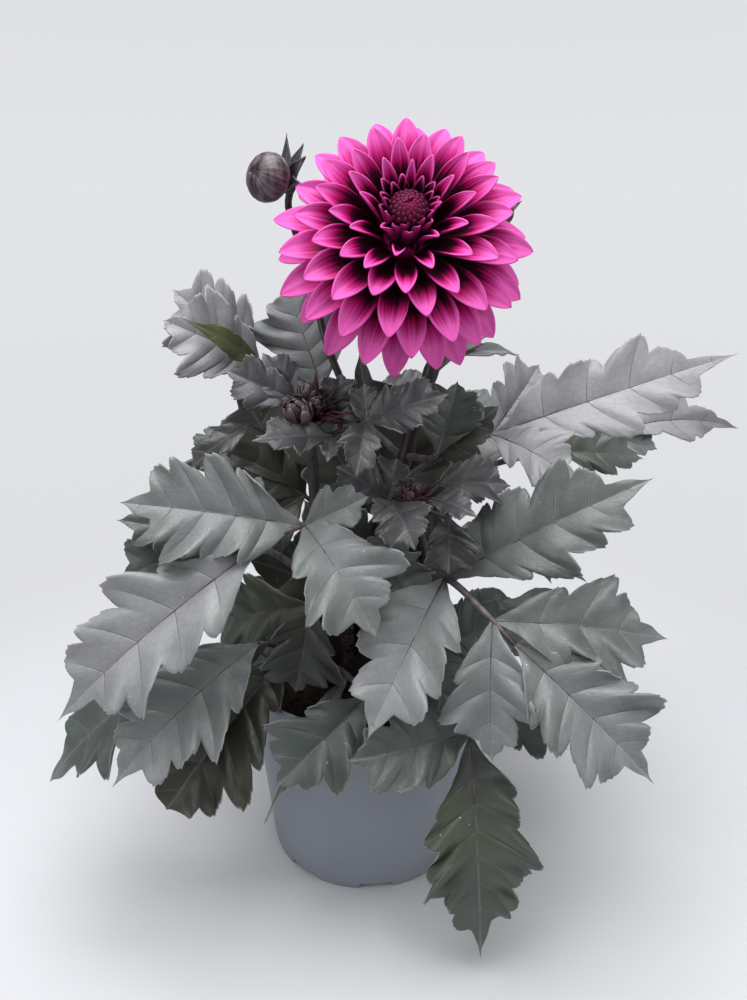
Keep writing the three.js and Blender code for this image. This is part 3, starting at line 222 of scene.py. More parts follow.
# The leafy tops that go on where a stem ends, with the clusters of young leaves on them.
YOUNG = dict(
    young_left=dict(stem="stem_left", path=((-22, -32, 222), (-21, -34, 229)), radii=(2.1, 1.6), stalks=(
        stalk(0, ((-10, -42, 226), (0, -49, 231)),
              blade(2, (32, -55, 244), (0, -0.8, 0.6), 22, 0.15),
              blade(2, (-3, -66, 215), (0.1, -0.75, 0.5), 17, 0.25, lobes=2),
              blade(2, (0, -44, 246), (0, -0.9, 0.3), 13, lobes=2)),
        stalk(0, ((-12, -44, 224),),
              blade(1, (-43, -56, 226), (0, -0.6, 0.8), 18, lobes=2),
              blade(1, (-14, -60, 219), (0, -0.7, 0.7), 9, lobes=2)),
        stalk(0.7, ((-27, -28, 233),),
              blade(1, (-57, -25, 247), (0, -0.85, 0.5), 22, lobes=2),
              blade(1, (-42, -19, 253), (0, -0.9, 0.4), 18, lobes=2)),
        stalk(0, ((-12, -36, 231),),
              blade(1, (-9, -35, 248), (0, -1, 0.2), 16, lobes=2)),
        stalk(0, ((-36, -30, 221), (-46, -30, 225)),
              blade(2, (-71, -42, 208), (-0.2, -0.7, 0.6), 15, 0.25, lobes=2)),
    )),
    young_right=dict(stem="stem_right", path=((20, -46, 194), (19, -48, 199)), radii=(1.8, 1.3), stalks=(
        stalk(0, ((9, -44, 198),),
              blade(1, (-12, -40, 211), (0, -0.8, 0.6), 22, 0.15, lobes=2),
              blade(1, (13, -36, 213), (0, -0.9, 0.4), 18, lobes=2)),
        stalk(0, ((12, -54, 200),),
              blade(1, (19, -75, 189), (-0.1, -0.8, 0.6), 22, 0.3, lobes=2),
              blade(1, (3, -64, 196), (-0.1, -0.8, 0.6), 12, 0.2, lobes=2)),
        stalk(0, ((26, -52, 201),),
              blade(1, (43, -66, 199), (0, -0.6, 0.8), 13, 0.15, lobes=2)),
        stalk(0, ((30, -42, 204),),
              blade(1, (59, -42, 203), (0, -0.7, 0.7), 22, 0.15, lobes=2)),
        stalk(0, ((34, -44, 190),),
              blade(1, (33, -60, 172), (0.1, -0.9, 0.4), 24, 0.2, lobes=2)),
    )),
    young_back=dict(stem="stem_back", path=((-5, 42, 208), (-4, 43, 214)), radii=(1.8, 1.3), stalks=(
        stalk(0, ((-12, 38, 216),),
              blade(1, (-42, 32, 226), (0, -0.6, 0.8), 20, 0.15, lobes=2)),
        stalk(0, ((4, 46, 216),),
              blade(1, (34, 54, 228), (0, -0.4, 0.9), 20, 0.15, lobes=2)),
    )),
)

# Closed buds; their bracts are a tip and a width.
BUDS = dict(
    bud_left=dict(
        neck=(-30, 1, 316), centre=(-38, -8, 320), radius=9.6, flat=0.8,
        bracts=(((-31, 3, 337), 4.2), ((-24, 0, 333), 5.6), ((-23, -8, 328), 6.5), ((-25, -12, 318), 6),
                ((-36, 10, 324), 5)),
    ),
    bud_right=dict(
        neck=(56, 26, 298), centre=(58, 24, 306), radius=6.5, flat=0.9,
        bracts=(((68, 24, 311), 4), ((50, 26, 306), 5)),
    ),
)

# Knots of young buds: balls as centre and radius, the tips of their bracts, and the way that the spray of
# narrow curled bracts leans, its reach and their number.
KNOTS = dict(
    buds_left=dict(
        foot=(-21, -34, 229.4),
        balls=((-26, -43, 234, 6.2), (-19, -40, 237, 2.8), (-31, -37, 236, 2.8), (-22, -37, 241, 3.6)),
        bracts=((-19, -38, 250), (-25, -46, 233), (-15, -46, 238)),
        lean=(0.5, -0.8, -0.3), spray=14, curls=36,
    ),
    buds_right=dict(
        foot=(19, -48, 199.4),
        balls=((18, -51, 203, 2.6), (21, -50, 205, 2)),
        bracts=((15, -54, 206), (25, -52, 208)),
        lean=(0.1, -0.3, 0), spray=8, curls=24,
    ),
)


def length_setting(name, description, default):
    """A setting that is a length."""
    return bpy.props.FloatProperty(name=name, description=description, default=default, unit="LENGTH")


def colour_setting(name, description, default):
    """A setting that is a colour, as sRGB."""
    return bpy.props.FloatVectorProperty(
        name=name, description=description + ", as sRGB", default=default, subtype="COLOR_GAMMA")


class DahliaPotSettings(bpy.types.PropertyGroup):
    """Sizes and colours of the pot and its soil."""

    base_radius: length_setting("Base radius", "Outside radius of the pot at its foot", 0.048)
    rim_radius: length_setting("Rim radius", "Outside radius of the pot's rim", 0.061)
    height: length_setting("Height", "Height of the pot", 0.1)
    plastic: colour_setting("Plastic", "Colour of the moulded plastic", (0.52, 0.54, 0.58))


class DahliaFoliageSettings(bpy.types.PropertyGroup):
    """Sizes and colours of the leaves."""

    thickness: length_setting("Blade thickness", "Thickness of a leaf at its midrib", 0.0007)
    quilting: bpy.props.FloatProperty(
        name="Quilting", default=0.1, subtype="FACTOR",
        description="How far the blade bulges between side veins, as a share of its half-width")
    leaf: colour_setting("Leaf", "Colour of grown leaves", (0.285, 0.32, 0.302))
    # The wax colour is partly the silvery bloom and partly a painted sheen on the lit leaves.
    wax: colour_setting("Wax", "Colour of the waxy bloom on grown leaves", (0.585, 0.588, 0.602))
    young: colour_setting("Young leaf", "Colour of young leaves", (0.1, 0.098, 0.1))


class DahliaBloomSettings(bpy.types.PropertyGroup):
    """Sizes and colours of the bloom."""

    radius: length_setting("Radius", "Distance of the widest petal tips from the bloom's middle", 0.05)
    front: length_setting("Depth in front", "Distance of the front petal tips from the bloom's middle", 0.034)
    petals: bpy.props.IntProperty(
        name="Petals", description="Number of petals in the spiral", default=80, min=20, max=200)
    tip: colour_setting("Tip", "Colour of the petal tips", (0.93, 0.38, 0.74))
    middle: colour_setting("Middle", "Colour half-way along a petal", (0.72, 0.01, 0.4))
    # The hollow's colour is partly the petal's own and partly painted shade deep in the bloom.
    foot: colour_setting("Foot", "Colour of the hollow of a petal", (0.15, 0.0, 0.068))


class DahliaStageSettings(bpy.types.PropertyGroup):
    """The floor, the lights and the camera."""

    backdrop: colour_setting("Backdrop", "Colour of the backdrop", (0.89, 0.895, 0.91))
    key_power: bpy.props.FloatProperty(
        name="Key light", description="Power of the large light overhead, in watts", default=12.0)
    lens: bpy.props.FloatProperty(
        name="Lens", description="Focal length of the camera in millimetres", default=30.6)


# Shapes


def unit(vectors):
    """The same vectors with length one."""
    vectors = np.asarray(vectors, float)
    return vectors / np.maximum(np.linalg.norm(vectors, axis=-1, keepdims=True), 1e-9)


def chance(i, j):
    """A repeatable number from 0 to 1: the fraction of a large multiple of a sine of i and j."""
    wave = np.sin(np.asarray(i) * 12.9898 + j * 78.233) * 43758.5453
    return wave - np.floor(wave)


def step(value, low, high):
    """0 below low, 1 above high and an S-shaped cubic in between."""
    share = np.clip((value - low) / (high - low), 0, 1)
    return share * share * (3 - 2 * share)


def smooth_path(joints, count):
    """Evenly spaced points of a curve through the joints. Each span is a cubic that passes both its ends with
    tangents from the neighbouring joints, weighted by the square roots of the distances between them."""
    joints = np.asarray(joints, float)
    full = np.vstack([2 * joints[0] - joints[1], joints, 2 * joints[-1] - joints[-2]])
    spans = len(joints) - 1
    place = np.linspace(0, spans, 40 * spans + 1)
    span = np.minimum(place.astype(int), spans - 1)
    t = (place - span)[:, None]
    p0, p1, p2, p3 = (full[span + k] for k in range(4))
    root = [np.sqrt(np.linalg.norm(b - a, axis=1))[:, None] for a, b in ((p0, p1), (p1, p2), (p2, p3))]
    t1 = ((p1 - p0) / root[0] - (p2 - p0) / (root[0] + root[1]) + (p2 - p1) / root[1]) * root[1]
    t2 = ((p2 - p1) / root[1] - (p3 - p1) / (root[1] + root[2]) + (p3 - p2) / root[2]) * root[1]
    fine = p1 + t1 * t + (3 * (p2 - p1) - 2 * t1 - t2) * t**2 + (2 * (p1 - p2) + t1 + t2) * t**3
    length = np.concatenate([[0], np.cumsum(np.linalg.norm(np.diff(fine, axis=0), axis=1))])
    at = np.linspace(0, length[-1], count)
    return np.stack([np.interp(at, length, fine[:, k]) for k in range(3)], 1)


def at_height(points, height):
    """The point of a rising path at a height."""
    low = int(np.argmax(points[:, 2] > height)) - 1
    share = (height - points[low, 2]) / (points[low + 1, 2] - points[low, 2])
    return points[low] + share * (points[low + 1] - points[low])


def both_sides(*values):
    """A row of places across a blade, from those between its middle and one margin."""
    values = np.array(values, float)
    return np.concatenate([-values[::-1], [0], values])[None, :]


def chord_frame(start, end, face):
    """The length and direction of the chord from start to end, and the way square to it nearest to face."""
    length = np.linalg.norm(end - start)
    chord = (end - start) / length
    return length, chord, unit(np.array(face, float) - np.dot(face, chord) * chord)


def arc(start, middle, end, t):
    """The points and the directions of a quadratic arc from start towards middle and on to end."""
    points = (1 - t) ** 2 * start + 2 * t * (1 - t) * middle + t**2 * end
    return points, unit(2 * (1 - t) * (middle - start) + 2 * t * (end - middle))


def carried(line, *moves):
    """A grid, [row, column]: each point of a line carried by distances along directions. The last row stays
    on the line's end."""
    grid = line[:, None]
    for direction, distance in moves:
        grid = grid + np.broadcast_to(direction, line.shape)[:, None] * distance[..., None]
    grid[-1] = line[-1]
    return grid


def closed_rings(grid, start, end, tint=0.0, material=0):
    """A closed skin over rings of points, grid[ring, side], shut by a point at either end. The rings go
    round so that each ring crossed with the way to the next one points outwards."""
    rings, sides = grid.shape[:2]
    index = np.arange(rings * sides).reshape(rings, sides)
    turned = np.roll(index, -1, axis=1)
    quads = np.stack([index[:-1], turned[:-1], turned[1:], index[1:]], -1).reshape(-1, 4)
    first = np.full(sides, rings * sides)
    fans = [np.stack([first, turned[0], index[0]], -1), np.stack([first + 1, index[-1], turned[-1]], -1)]
    held = np.zeros((rings * sides + 2, 3))
    held[:, 2] = [*np.repeat(np.linspace(0, 1, rings), sides), 0, 1]
    tone = np.zeros_like(held)
    tone[:, 2] = tint
    return dict(points=np.vstack([grid.reshape(-1, 3), start, end]), quads=quads, triangles=np.vstack(fans),
                blade=held, tone=tone, material=material)


def tube(points, radii, sides=12, tint=0.0, material=0):
    """A circle of the given radius carried along a path, square to it, and shut at both ends."""
    tangent = unit(np.gradient(points, axis=0))
    across = np.eye(3)[int(np.argmin(np.abs(tangent).max(axis=0)))]
    normal = unit(np.cross(across, tangent))
    other = np.cross(tangent, normal)
    angle = np.linspace(0, 2 * np.pi, sides, endpoint=False)[None, :, None]
    radii = np.broadcast_to(radii, len(points))[:, None, None]
    grid = points[:, None] + radii * (np.cos(angle) * normal[:, None] + np.sin(angle) * other[:, None])
    return closed_rings(grid, points[0], points[-1], tint=tint, material=material)


def sheet(middle, thickness, across, phase, along, rim, tint, material=0):
    """A closed thin blade about a grid of middle points, [row, column]. Its faces lie half the thickness to
    either side along the surface's own normal, which is the step across crossed with the step along. They
    meet in the margin, and the last row is one point, the tip. The other values are kept for the material:
    blade holds the place across, a phase and the place along; tone holds 1 on the underside, how near the
    rim it is, and a tint."""
    rows, columns = middle.shape[:2]
    normal = unit(np.cross(np.gradient(middle, axis=1), np.gradient(middle, axis=0)))
    offset = normal * thickness / 2
    offset[0] = offset[-1] = 0
    offset[:, 0] = offset[:, -1] = 0
    top = np.arange(rows * columns).reshape(rows, columns)
    top[-1] = top[-1, 0]
    inner = (rows - 2) * (columns - 2)
    count = top[-1, 0] + 1
    below = top.copy()
    below[1:-1, 1:-1] = count + np.arange(inner).reshape(rows - 2, columns - 2)
    quads = []
    triangles = []
    for index, way in ((top, 1), (below, -1)):
        a, b, c, d = index[:-2, :-1], index[:-2, 1:], index[1:-1, 1:], index[1:-1, :-1]
        quads.append(np.stack([a, b, c, d][::way], -1).reshape(-1, 4))
        tips = np.stack([index[-2, :-1], index[-2, 1:], index[-1, 1:]][::way], -1)
        triangles.append(tips.reshape(-1, 3))

    def spread(*values):
        grid = np.stack([np.broadcast_to(value, (rows, columns)) for value in values], -1).astype(float)
        return np.vstack([grid.reshape(rows * columns, -1)[:count], grid[1:-1, 1:-1].reshape(inner, -1)])

    points = spread(*np.moveaxis(middle, -1, 0))
    points[:count] += offset.reshape(-1, 3)[:count]
    points[count:] -= offset[1:-1, 1:-1].reshape(-1, 3)
    tone = spread(0, rim, tint)
    tone[count:, 0] = 1
    return dict(points=points, quads=np.vstack(quads), triangles=np.vstack(triangles),
                blade=spread(across, phase, along), tone=tone, material=material)


def make_piece(name, parts, materials, nodes):
    """One object from its parts, in metres and in place. It stands for the named solids."""
    starts = np.cumsum([0] + [len(p["points"]) for p in parts])
    points = np.vstack([p["points"] for p in parts]) / PER_METRE
    quads, triangles = (
        np.vstack([p[key] + start for p, start in zip(parts, starts)]) for key in ("quads", "triangles"))
    use = [np.full(len(p[key]), p["material"]) for key in ("quads", "triangles") for p in parts]
    corners = np.concatenate([quads.ravel(), triangles.ravel()]).astype(np.int32)
    first = np.concatenate([np.arange(len(quads)) * 4, len(quads) * 4 + np.arange(len(triangles)) * 3])
    mesh = bpy.data.meshes.new(name)
    mesh.vertices.add(len(points))
    mesh.vertices.foreach_set("co", points.ravel())
    mesh.loops.add(len(corners))
    mesh.loops.foreach_set("vertex_index", corners)
    mesh.polygons.add(len(first))
    mesh.polygons.foreach_set("loop_start", first.astype(np.int32))
    mesh.polygons.foreach_set("material_index", np.concatenate(use).astype(np.int32))
    mesh.polygons.foreach_set("use_smooth", np.ones(len(first), bool))
    for key in ("blade", "tone"):
        held = mesh.attributes.new(key, "FLOAT_VECTOR", "POINT")
        held.data.foreach_set("vector", np.vstack([p[key] for p in parts]).astype(np.float32).ravel())
    mesh.update(calc_edges=True)
    if mesh.validate(verbose=True):
        raise RuntimeError(f"the mesh of {name} was not sound")
    for material in materials:
        mesh.materials.append(material)
    piece = bpy.data.objects.new(name, mesh)
    bpy.context.scene.collection.objects.link(piece)
    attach(piece, "root")
    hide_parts(*nodes)
    return piece


# Materials


def linear(colour, alpha=1.0):
    """An sRGB colour, as a hex string or three numbers, turned to linear red, green, blue and alpha."""
    if isinstance(colour, str):
        colour = [int(colour[k : k + 2], 16) / 255 for k in (1, 3, 5)]
    channels = [c / 12.92 if c <= 0.04045 else ((c + 0.055) / 1.055) ** 2.4 for c in colour]
    return (*channels, alpha)


def fill(tree, node, inputs):
    """Fills in a node's inputs, named or numbered. A socket is linked, a node is linked by its first output
    in use, and anything else is set as the input's own value."""
    for key, value in inputs.items():
        if isinstance(value, bpy.types.Node):
            value = next(output for output in value.outputs if output.enabled)
        if isinstance(value, bpy.types.NodeSocket):
            tree.links.new(value, node.inputs[key])
        else:
            node.inputs[key].default_value = value


def add_node(tree, kind, inputs=(), stops=(), **settings):
    """A shader node with its settings. Its inputs are a dict as fill takes it, or a list from the first on;
    stops are the places and colours of a colour ramp."""
    made = tree.nodes.new("ShaderNode" + kind)
    for key, value in settings.items():
        setattr(made, key, value)
    fill(tree, made, inputs if isinstance(inputs, dict) else dict(enumerate(inputs)))
    for k, (place, colour) in enumerate(stops):
        element = made.color_ramp.elements[k] if k < 2 else made.color_ramp.elements.new(place)
        element.position = place
        element.color = linear(colour)
    return made


def new_material(name):
    """A new material with its Principled shader, the function that adds a node to it, the function that fills
    in the shader, the six channels that sheet keeps with each point, and the place on the object."""
    material = bpy.data.materials.new(name)
    material.use_nodes = True
    tree = material.node_tree
    node = functools.partial(add_node, tree)
    finish = functools.partial(fill, tree, tree.nodes["Principled BSDF"])
    channels = []
    for key in ("blade", "tone"):
        channels += node("SeparateXYZ", [node("Attribute", attribute_name=key).outputs["Vector"]]).outputs
    return material, node, finish, channels, node("TexCoord").outputs["Object"]


def leaf_material(name, green, silver, underside, sheen=0.12):
    """Living dahlia leaf: a waxy bloom over dark purple-green tissue. The eye sees a satin blade that drifts
    between grey-green and silvery lilac, partly with the wax and partly as painted light: each leaf's offset
    makes the lit upper leaves more silvery, a painted sheen, and the inner leaves darker, painted shade. It
    has fine dark side veins with light flanks, a light band along the midrib that is partly a painted
    highlight, a faint net, a thin pale rim, olive patches and a duller olive underside, both partly painted
    light shining through the blade."""
    material, node, finish, (across, phase, along, under, rim, tint), place = new_material(name)
    # Clouds of wax about 30 mm across, mottling of 8 mm, fine cells of about 1 mm, and patches of 80 mm.
    cloud, mottle, fine, patch = (
        node("TexNoise", {"Vector": place, "Scale": scale, "Detail": detail})
        for scale, detail in ((32.0, 1.0), (130.0, 3.0), (900.0, 2.0), (13.0, 2.0)))
    # How much wax shows: the leaflet's tint, clouds, mottling, and more towards the tip. The tint carries its
    # leaf's offset, which is partly painted light: more on the lit upper leaves, less on the shaded inner
    # ones.
    wax = tint
    for source, weight in ((cloud, 0.75), (mottle, 0.35), (along, 0.3)):
        wax = node("Math", [source, weight, wax], operation="MULTIPLY_ADD")
    # The ramp runs from bare skin, which is also the painted shade of the inner leaves, through the green to
    # the silvery wax, which is also a painted sheen.
    bare_and_painted_shade = [c * k for c, k in zip(green, (0.58, 0.54, 0.4))]
    skin = node("ValToRGB", [node("MapRange", [wax, 0.0, 1.8])],
                stops=((0.0, bare_and_painted_shade), (1.0, silver), (0.42, green)))
    # Here and there olive patches show, partly the leaf's own olive green and partly painted light shining
    # through the blade. A leaflet with hardly any wax turns olive all over: painted light shining through it.
    # The duller olive of the underside, mixed in below, is likewise partly painted light shining through.
    olive_and_painted_translucency = node("MapRange", [patch, 0.56, 0.74, 0.0, 0.4])
    painted_translucent_green = node("MapRange", [tint, -1.9, -1.6, 0.9, 0.0])
    # Side veins lie where the vein count is whole: a dark line about 0.2 mm wide, with light flanks, that
    # fades towards the rim.
    from_vein = node("Math", [phase, 0.5], operation="PINGPONG")
    fade = node("MapRange", [rim, 0.3, 0.98, 1.0, 0.0])
    bands = []
    for near, far in ((0.004, 0.02), (0.02, 0.06)):
        band = node("MapRange", [from_vein, near, far, 1.0, 0.0], interpolation_type="SMOOTHSTEP")
        bands.append(node("Math", [band, fade], operation="MULTIPLY"))
    vein, flank = bands
    # The net of small veins: cells about 3 mm wide, stretched along the side veins.
    net = node("CombineXYZ", [across, phase, tint])
    net = node("VectorMath", [net, (0.3, 4.5, 9.0)], operation="MULTIPLY")
    net = node("TexVoronoi", {"Vector": net, "Scale": 1.0}, feature="DISTANCE_TO_EDGE")
    net = node("MapRange", [net, 0.0, 0.16, 1.0, 0.0])
    # Flanks, rim and midrib are lighter than the skin, the band along the midrib partly as a painted
    # highlight on its raised rib; veins and net are darker.
    edge = node("MapRange", [rim, 0.965, 0.995, 0.0, 0.35])
    rib = node("Math", [across], operation="ABSOLUTE")
    rib = node("MapRange", [rib, 0.3, 0.9, 0.15, 0.0], interpolation_type="SMOOTHSTEP")
    light = node("Math", [flank, 0.09, edge], operation="MULTIPLY_ADD")
    light = node("Math", [light, rib], operation="MAXIMUM")
    dark = node("Math", [net, 0.1], operation="MULTIPLY")
    dark = node("Math", [vein, 0.5, dark], operation="MULTIPLY_ADD")
    # Specks of dust and dried drops, about 0.4 mm.
    speck = node("TexVoronoi", {"Vector": place, "Scale": 260.0, "Randomness": 1.0})
    dot = node("MapRange", [speck, 0.05, 0.09, 0.6, 0.0])
    rare = node("SeparateColor", [speck.outputs["Color"]])
    rare = node("Math", [rare, 0.93], operation="GREATER_THAN")
    dot = node("Math", [dot, rare], operation="MULTIPLY")
    # The layers of colour, each over the last.
    for share, over in ((olive_and_painted_translucency, underside), (painted_translucent_green, "#4b5426"), (under, underside), (light, "#b9bab9"),
                        (dark, "#2b2a2b"), (dot, "#e2e3e2")):
        skin = node("Mix", {0: share, 6: skin, 7: linear(over)}, data_type="RGBA")
    # Veins are pressed into the upper side; the skin is finely uneven.
    height = 0.0
    for source, weight in ((vein, -0.6), (net, -0.14), (fine, 0.12)):
        height = node("Math", [source, weight, height], operation="MULTIPLY_ADD")
    finish({
        "Base Color": skin, "Roughness": node("MapRange", [fine, 0.3, 0.7, 0.38, 0.52]),
        "Specular IOR Level": 0.6, "Sheen Weight": sheen, "Sheen Roughness": 0.35,
        "Sheen Tint": linear("#d3d6d8"),
        "Normal": node("Bump", {"Strength": 0.7, "Distance": 0.0004, "Height": height}),
    })
    return material


def petal_material(name, tip, middle, foot, dark_to):
    """Ray floret tissue: velvety, with upstanding cells. The eye sees a maroon hollow that runs out in fine
    streaks into magenta, then lilac-pink at the tip and the rim, and a paler, duller reverse. The hollow's
    maroon is partly the petal's own colour and partly painted shade deep in the bloom. dark_to is how far
    along the hollow's colour goes."""
    material, node, finish, (across, share, along, under, rim, tint), place = new_material(name)
    # Streaks along the petal: about 14 across its width.
    streak = node("CombineXYZ", [across, along, tint])
    streak = node("VectorMath", [streak, (7.0, 0.9, 40.0)], operation="MULTIPLY")
    streak = node("TexNoise", {"Vector": streak, "Scale": 1.0, "Detail": 2.5})
    # How far the colour has run out to the rim: with the length, sooner at the rim and on the outer petals.
    near_rim = node("Math", [rim, 6.0], operation="POWER")
    run = along
    for source, weight in ((near_rim, 0.1), (streak, 0.3), (share, 0.17)):
        run = node("Math", [source, weight, run], operation="MULTIPLY_ADD")
    run = node("Math", [run, 0.33], operation="SUBTRACT")
    # The foot and the deep colour of the hollow are partly painted shade deep in the bloom.
    deep = [c * 0.4 for c in middle]
    between = [(a + b) / 2 for a, b in zip(middle, tip)]
    face = node("ValToRGB", [run], stops=(
        (0.0, foot), (1.0, tip), (dark_to - 0.08, foot), (dark_to, deep), (dark_to + 0.07, middle),
        (dark_to + 0.14, between), (dark_to + 0.24, tip)))
    reverse = [(a * 0.5 + b * 0.5) * 0.92 for a, b in zip(middle, tip)]
    back = node("MapRange", [along, 0.2, 0.8, 0.0, 1.0])
    back = node("Mix", {0: back, 6: linear([c * 0.5 for c in middle]), 7: linear(reverse)}, data_type="RGBA")
    height = node("Math", [streak, 0.6], operation="MULTIPLY")
    finish({
        "Base Color": node("Mix", {0: under, 6: face, 7: back}, data_type="RGBA"),
        "Roughness": 0.5, "Specular IOR Level": 0.2, "Sheen Weight": 0.04, "Sheen Roughness": 0.4,
        "Sheen Tint": linear(tip),
        "Normal": node("Bump", {"Strength": 0.5, "Distance": 0.0004, "Height": height}),
    })
    return material


# Plant skins: a dark and a light colour, streaks in a metre and how far they are drawn out upright, the
# roughness and the depth of the bump.
SKINS = {
    # Smooth mauve-brown skin of stalks and midribs, satin, lighter than the stem.
    "leaf stalk skin": ("#382e33", "#6d6268", 300.0, 3.0, 0.42, 0.0002),
    # Smooth purple-brown skin with a satin gloss, streaked along the stem.
    "stem skin": ("#1a1115", "#38292f", 260.0, 6.0, 0.4, 0.0002),
    # Dull olive scales, paler at their rims.
    "calyx scale": ("#2e3a1e", "#6d7c46", 160.0, 2.5, 0.5, 0.0003),
    # Near-black maroon with grey streaks that are a painted sheen, and pale rims, so that each scale shows.
    "bud scale": ("#21151a", "#7a6b73", 260.0, 5.0, 0.4, 0.0004),
    # The dark that shows between the scales, partly its own colour and partly painted shade in the gaps.
    "bud core": ("#1b1216", "#3b2c33", 240.0, 2.0, 0.5, 0.0003),
    # Thin dry brown-mauve, a little shiny; its dark and light streaks are partly painted shade and highlight.
    "papery sepal": ("#1e1216", "#66555a", 300.0, 4.0, 0.45, 0.0004),
    # Grey leaf skin without the wax.
    "bract": ("#26252a", "#5c5c62", 200.0, 3.0, 0.45, 0.0003),
    # Wine-red young tissue.
    "curled bract": ("#1d0f13", "#4c2a31", 260.0, 3.0, 0.4, 0.0003),
}


def skin_material(name, ridges=0.0):
    """Smooth plant skin as SKINS gives it: two colours that run into each other in streaks, with a light rim.
    Ridges is how much the light colour follows the fine lengthwise ridges of a scale, as a painted highlight
    along each ridge."""
    held = bpy.data.materials.get(name)
    if held:
        return held
    dark, light, scale, stretch, rough, depth = SKINS[name]
    material, node, finish, channels, place = new_material(name)
    across, rim = channels[0], channels[4]
    drawn = node("Mapping", {"Vector": place, "Scale": (1.0, 1.0, 1.0 / stretch)})
    noise = node("TexNoise", {"Vector": drawn, "Scale": scale, "Detail": 4.0})
    ridge = node("Math", [across, 11.0], operation="MULTIPLY")
    ridge = node("Math", [ridge], operation="COSINE")
    mixed = node("Math", [ridge, ridges, noise], operation="MULTIPLY_ADD")
    spread = node("MapRange", [mixed, 0.35, 0.68])
    colour = node("Mix", {0: spread, 6: linear(dark), 7: linear(light)}, data_type="RGBA")
    edge = node("MapRange", [rim, 0.86, 0.99, 0.0, 0.5])
    finish({
        "Base Color": node("Mix", {0: edge, 6: colour, 7: linear(light)}, data_type="RGBA"),
        "Roughness": rough,
        "Normal": node("Bump", {"Strength": 0.6, "Distance": depth, "Height": mixed}),
    })
    return material


def pot_material(name, colour):
    """Injection-moulded polypropylene: even grey-blue, a fine matte texture of about 0.4 mm and faint flow
    clouds. The eye sees a soft broad highlight and no grain."""
    material, node, finish, channels, place = new_material(name)
    cloud = node("TexNoise", {"Vector": place, "Scale": 22.0, "Detail": 2.0})
    grain = node("TexNoise", {"Vector": place, "Scale": 2400.0, "Detail": 1.0})
    dull = linear([c * 0.95 for c in colour])
    bright = linear([min(1, c * 1.05) for c in colour])
    finish({
        "Base Color": node("Mix", {0: cloud, 6: dull, 7: bright}, data_type="RGBA"),
        "Roughness": node("MapRange", {0: cloud, 3: 0.46, 4: 0.56}), "IOR": 1.49,
        "Normal": node("Bump", {"Strength": 0.35, "Distance": 0.0001, "Height": grain}),
    })
    return material


def soil_material(name, dark, light):
    """Peat potting mix: dark brown fibre and crumb, fully matte, with crumbs of about 2 mm."""
    material, node, finish, channels, place = new_material(name)
    crumb = node("TexNoise", {"Vector": place, "Scale": 420.0, "Detail": 6.0})
    finish({
        "Base Color": node("ValToRGB", [crumb], stops=((0.35, dark), (0.7, light))),
        "Roughness": 0.95, "Specular IOR Level": 0.2,
        "Normal": node("Bump", {"Strength": 1.0, "Distance": 0.0012, "Height": crumb}),
    })
    return material


def floor_material(name):
    """Matt paper sweep: pale grey with a barely seen fibre grain, fading out far from the pot."""
    material, node, finish, channels, place = new_material(name)
    grain = node("TexNoise", {"Vector": place, "Scale": 900.0, "Detail": 2.0})
    finish({
        "Base Color": node("Mix", {0: grain, 6: linear("#cfd0d4"), 7: linear("#d6d7db")}, data_type="RGBA"),
        "Roughness": 0.9, "Specular IOR Level": 0.2,
    })
    distance = node("VectorMath", [place], operation="LENGTH")
    clear = node("MapRange", [distance, 0.24, 0.5, 0.0, 1.0], interpolation_type="SMOOTHSTEP")
    tree = material.node_tree
    faded = node("MixShader", [clear, tree.nodes["Principled BSDF"], node("BsdfTransparent")])
    fill(tree, tree.nodes["Material Output"], {"Surface": faded})
    return material


# The pot and the soil


def pot_part(base, rim, height):
    """The pot's skin: a profile of heights and radii turned about the upright axis, from the middle of the
    underside out, up the wall, over the rim and down inside. The ring of the foot is raised by the drain
    notches: eight flat trapezoids of the angle about the axis."""
    edge = height - RIM_BAND
    top = WALL_TOP_RADIUS
    foot = [
        (4, 20), (4, 34), (4, base - 4.6), (3.8, base - 4.2), (0.3, base - 4), (0, base - 3.7),
        (0, base - 1.2), (0.25, base - 0.5), (0.9, base - 0.1), (3, base + 0.25), (5.2, base + 0.52),
        (5.6, base + 0.46), (6, base + 0.6),
    ]
    wall = [(z, base + (top - base) * z / edge) for z in np.linspace(9, edge - 0.6, 16)]
    lip = [
        (edge + 0.2, top + 0.4), (edge + 0.9, top + 1.6), (edge + 1.4, rim - 1.4), (edge + 2, rim - 1),
        (edge + 4, rim - 0.8), (height - 3, rim - 0.1), (height - 1, rim), (height - 0.3, rim - 0.3),
        (height, rim - 0.9), (height, rim - 1.6), (height - 0.3, rim - 2.1), (height - 1, rim - 2.3),
        (edge + 3, rim - 2.7), (edge + 1, top - 1), (edge - 2, top - 1.7),
    ]
    inside = [(z, base + (top - base) * z / edge - WALL) for z in (60, 30, 8)]
    floor = [(5.6, base - 1.8), (5.6, 20)]
    heights, radii = np.array(foot + wall + lip + inside + floor).T
    around = np.linspace(0, 2 * np.pi, POT_SIDES, endpoint=False)
    each = 2 * np.pi / NOTCHES
    from_notch = (around - NOTCH_TURN + each / 2) % each - each / 2
    cut = np.clip((NOTCH_HALF_WIDTH - np.abs(from_notch) * base) / NOTCH_SLOPE, 0, 1) * NOTCH_HEIGHT
    at_foot = (radii > base - 4.7) & (heights < 3.5) & (np.arange(len(radii)) < len(foot))
    z = np.broadcast_to(heights[:, None], (len(heights), len(around))).copy()
    z = np.where(at_foot[:, None], np.maximum(z, cut), z)
    grid = np.stack([radii[:, None] * np.cos(around), radii[:, None] * np.sin(around), z], -1)
    return closed_rings(grid, (0, 0, 4), (0, 0, 5.6))


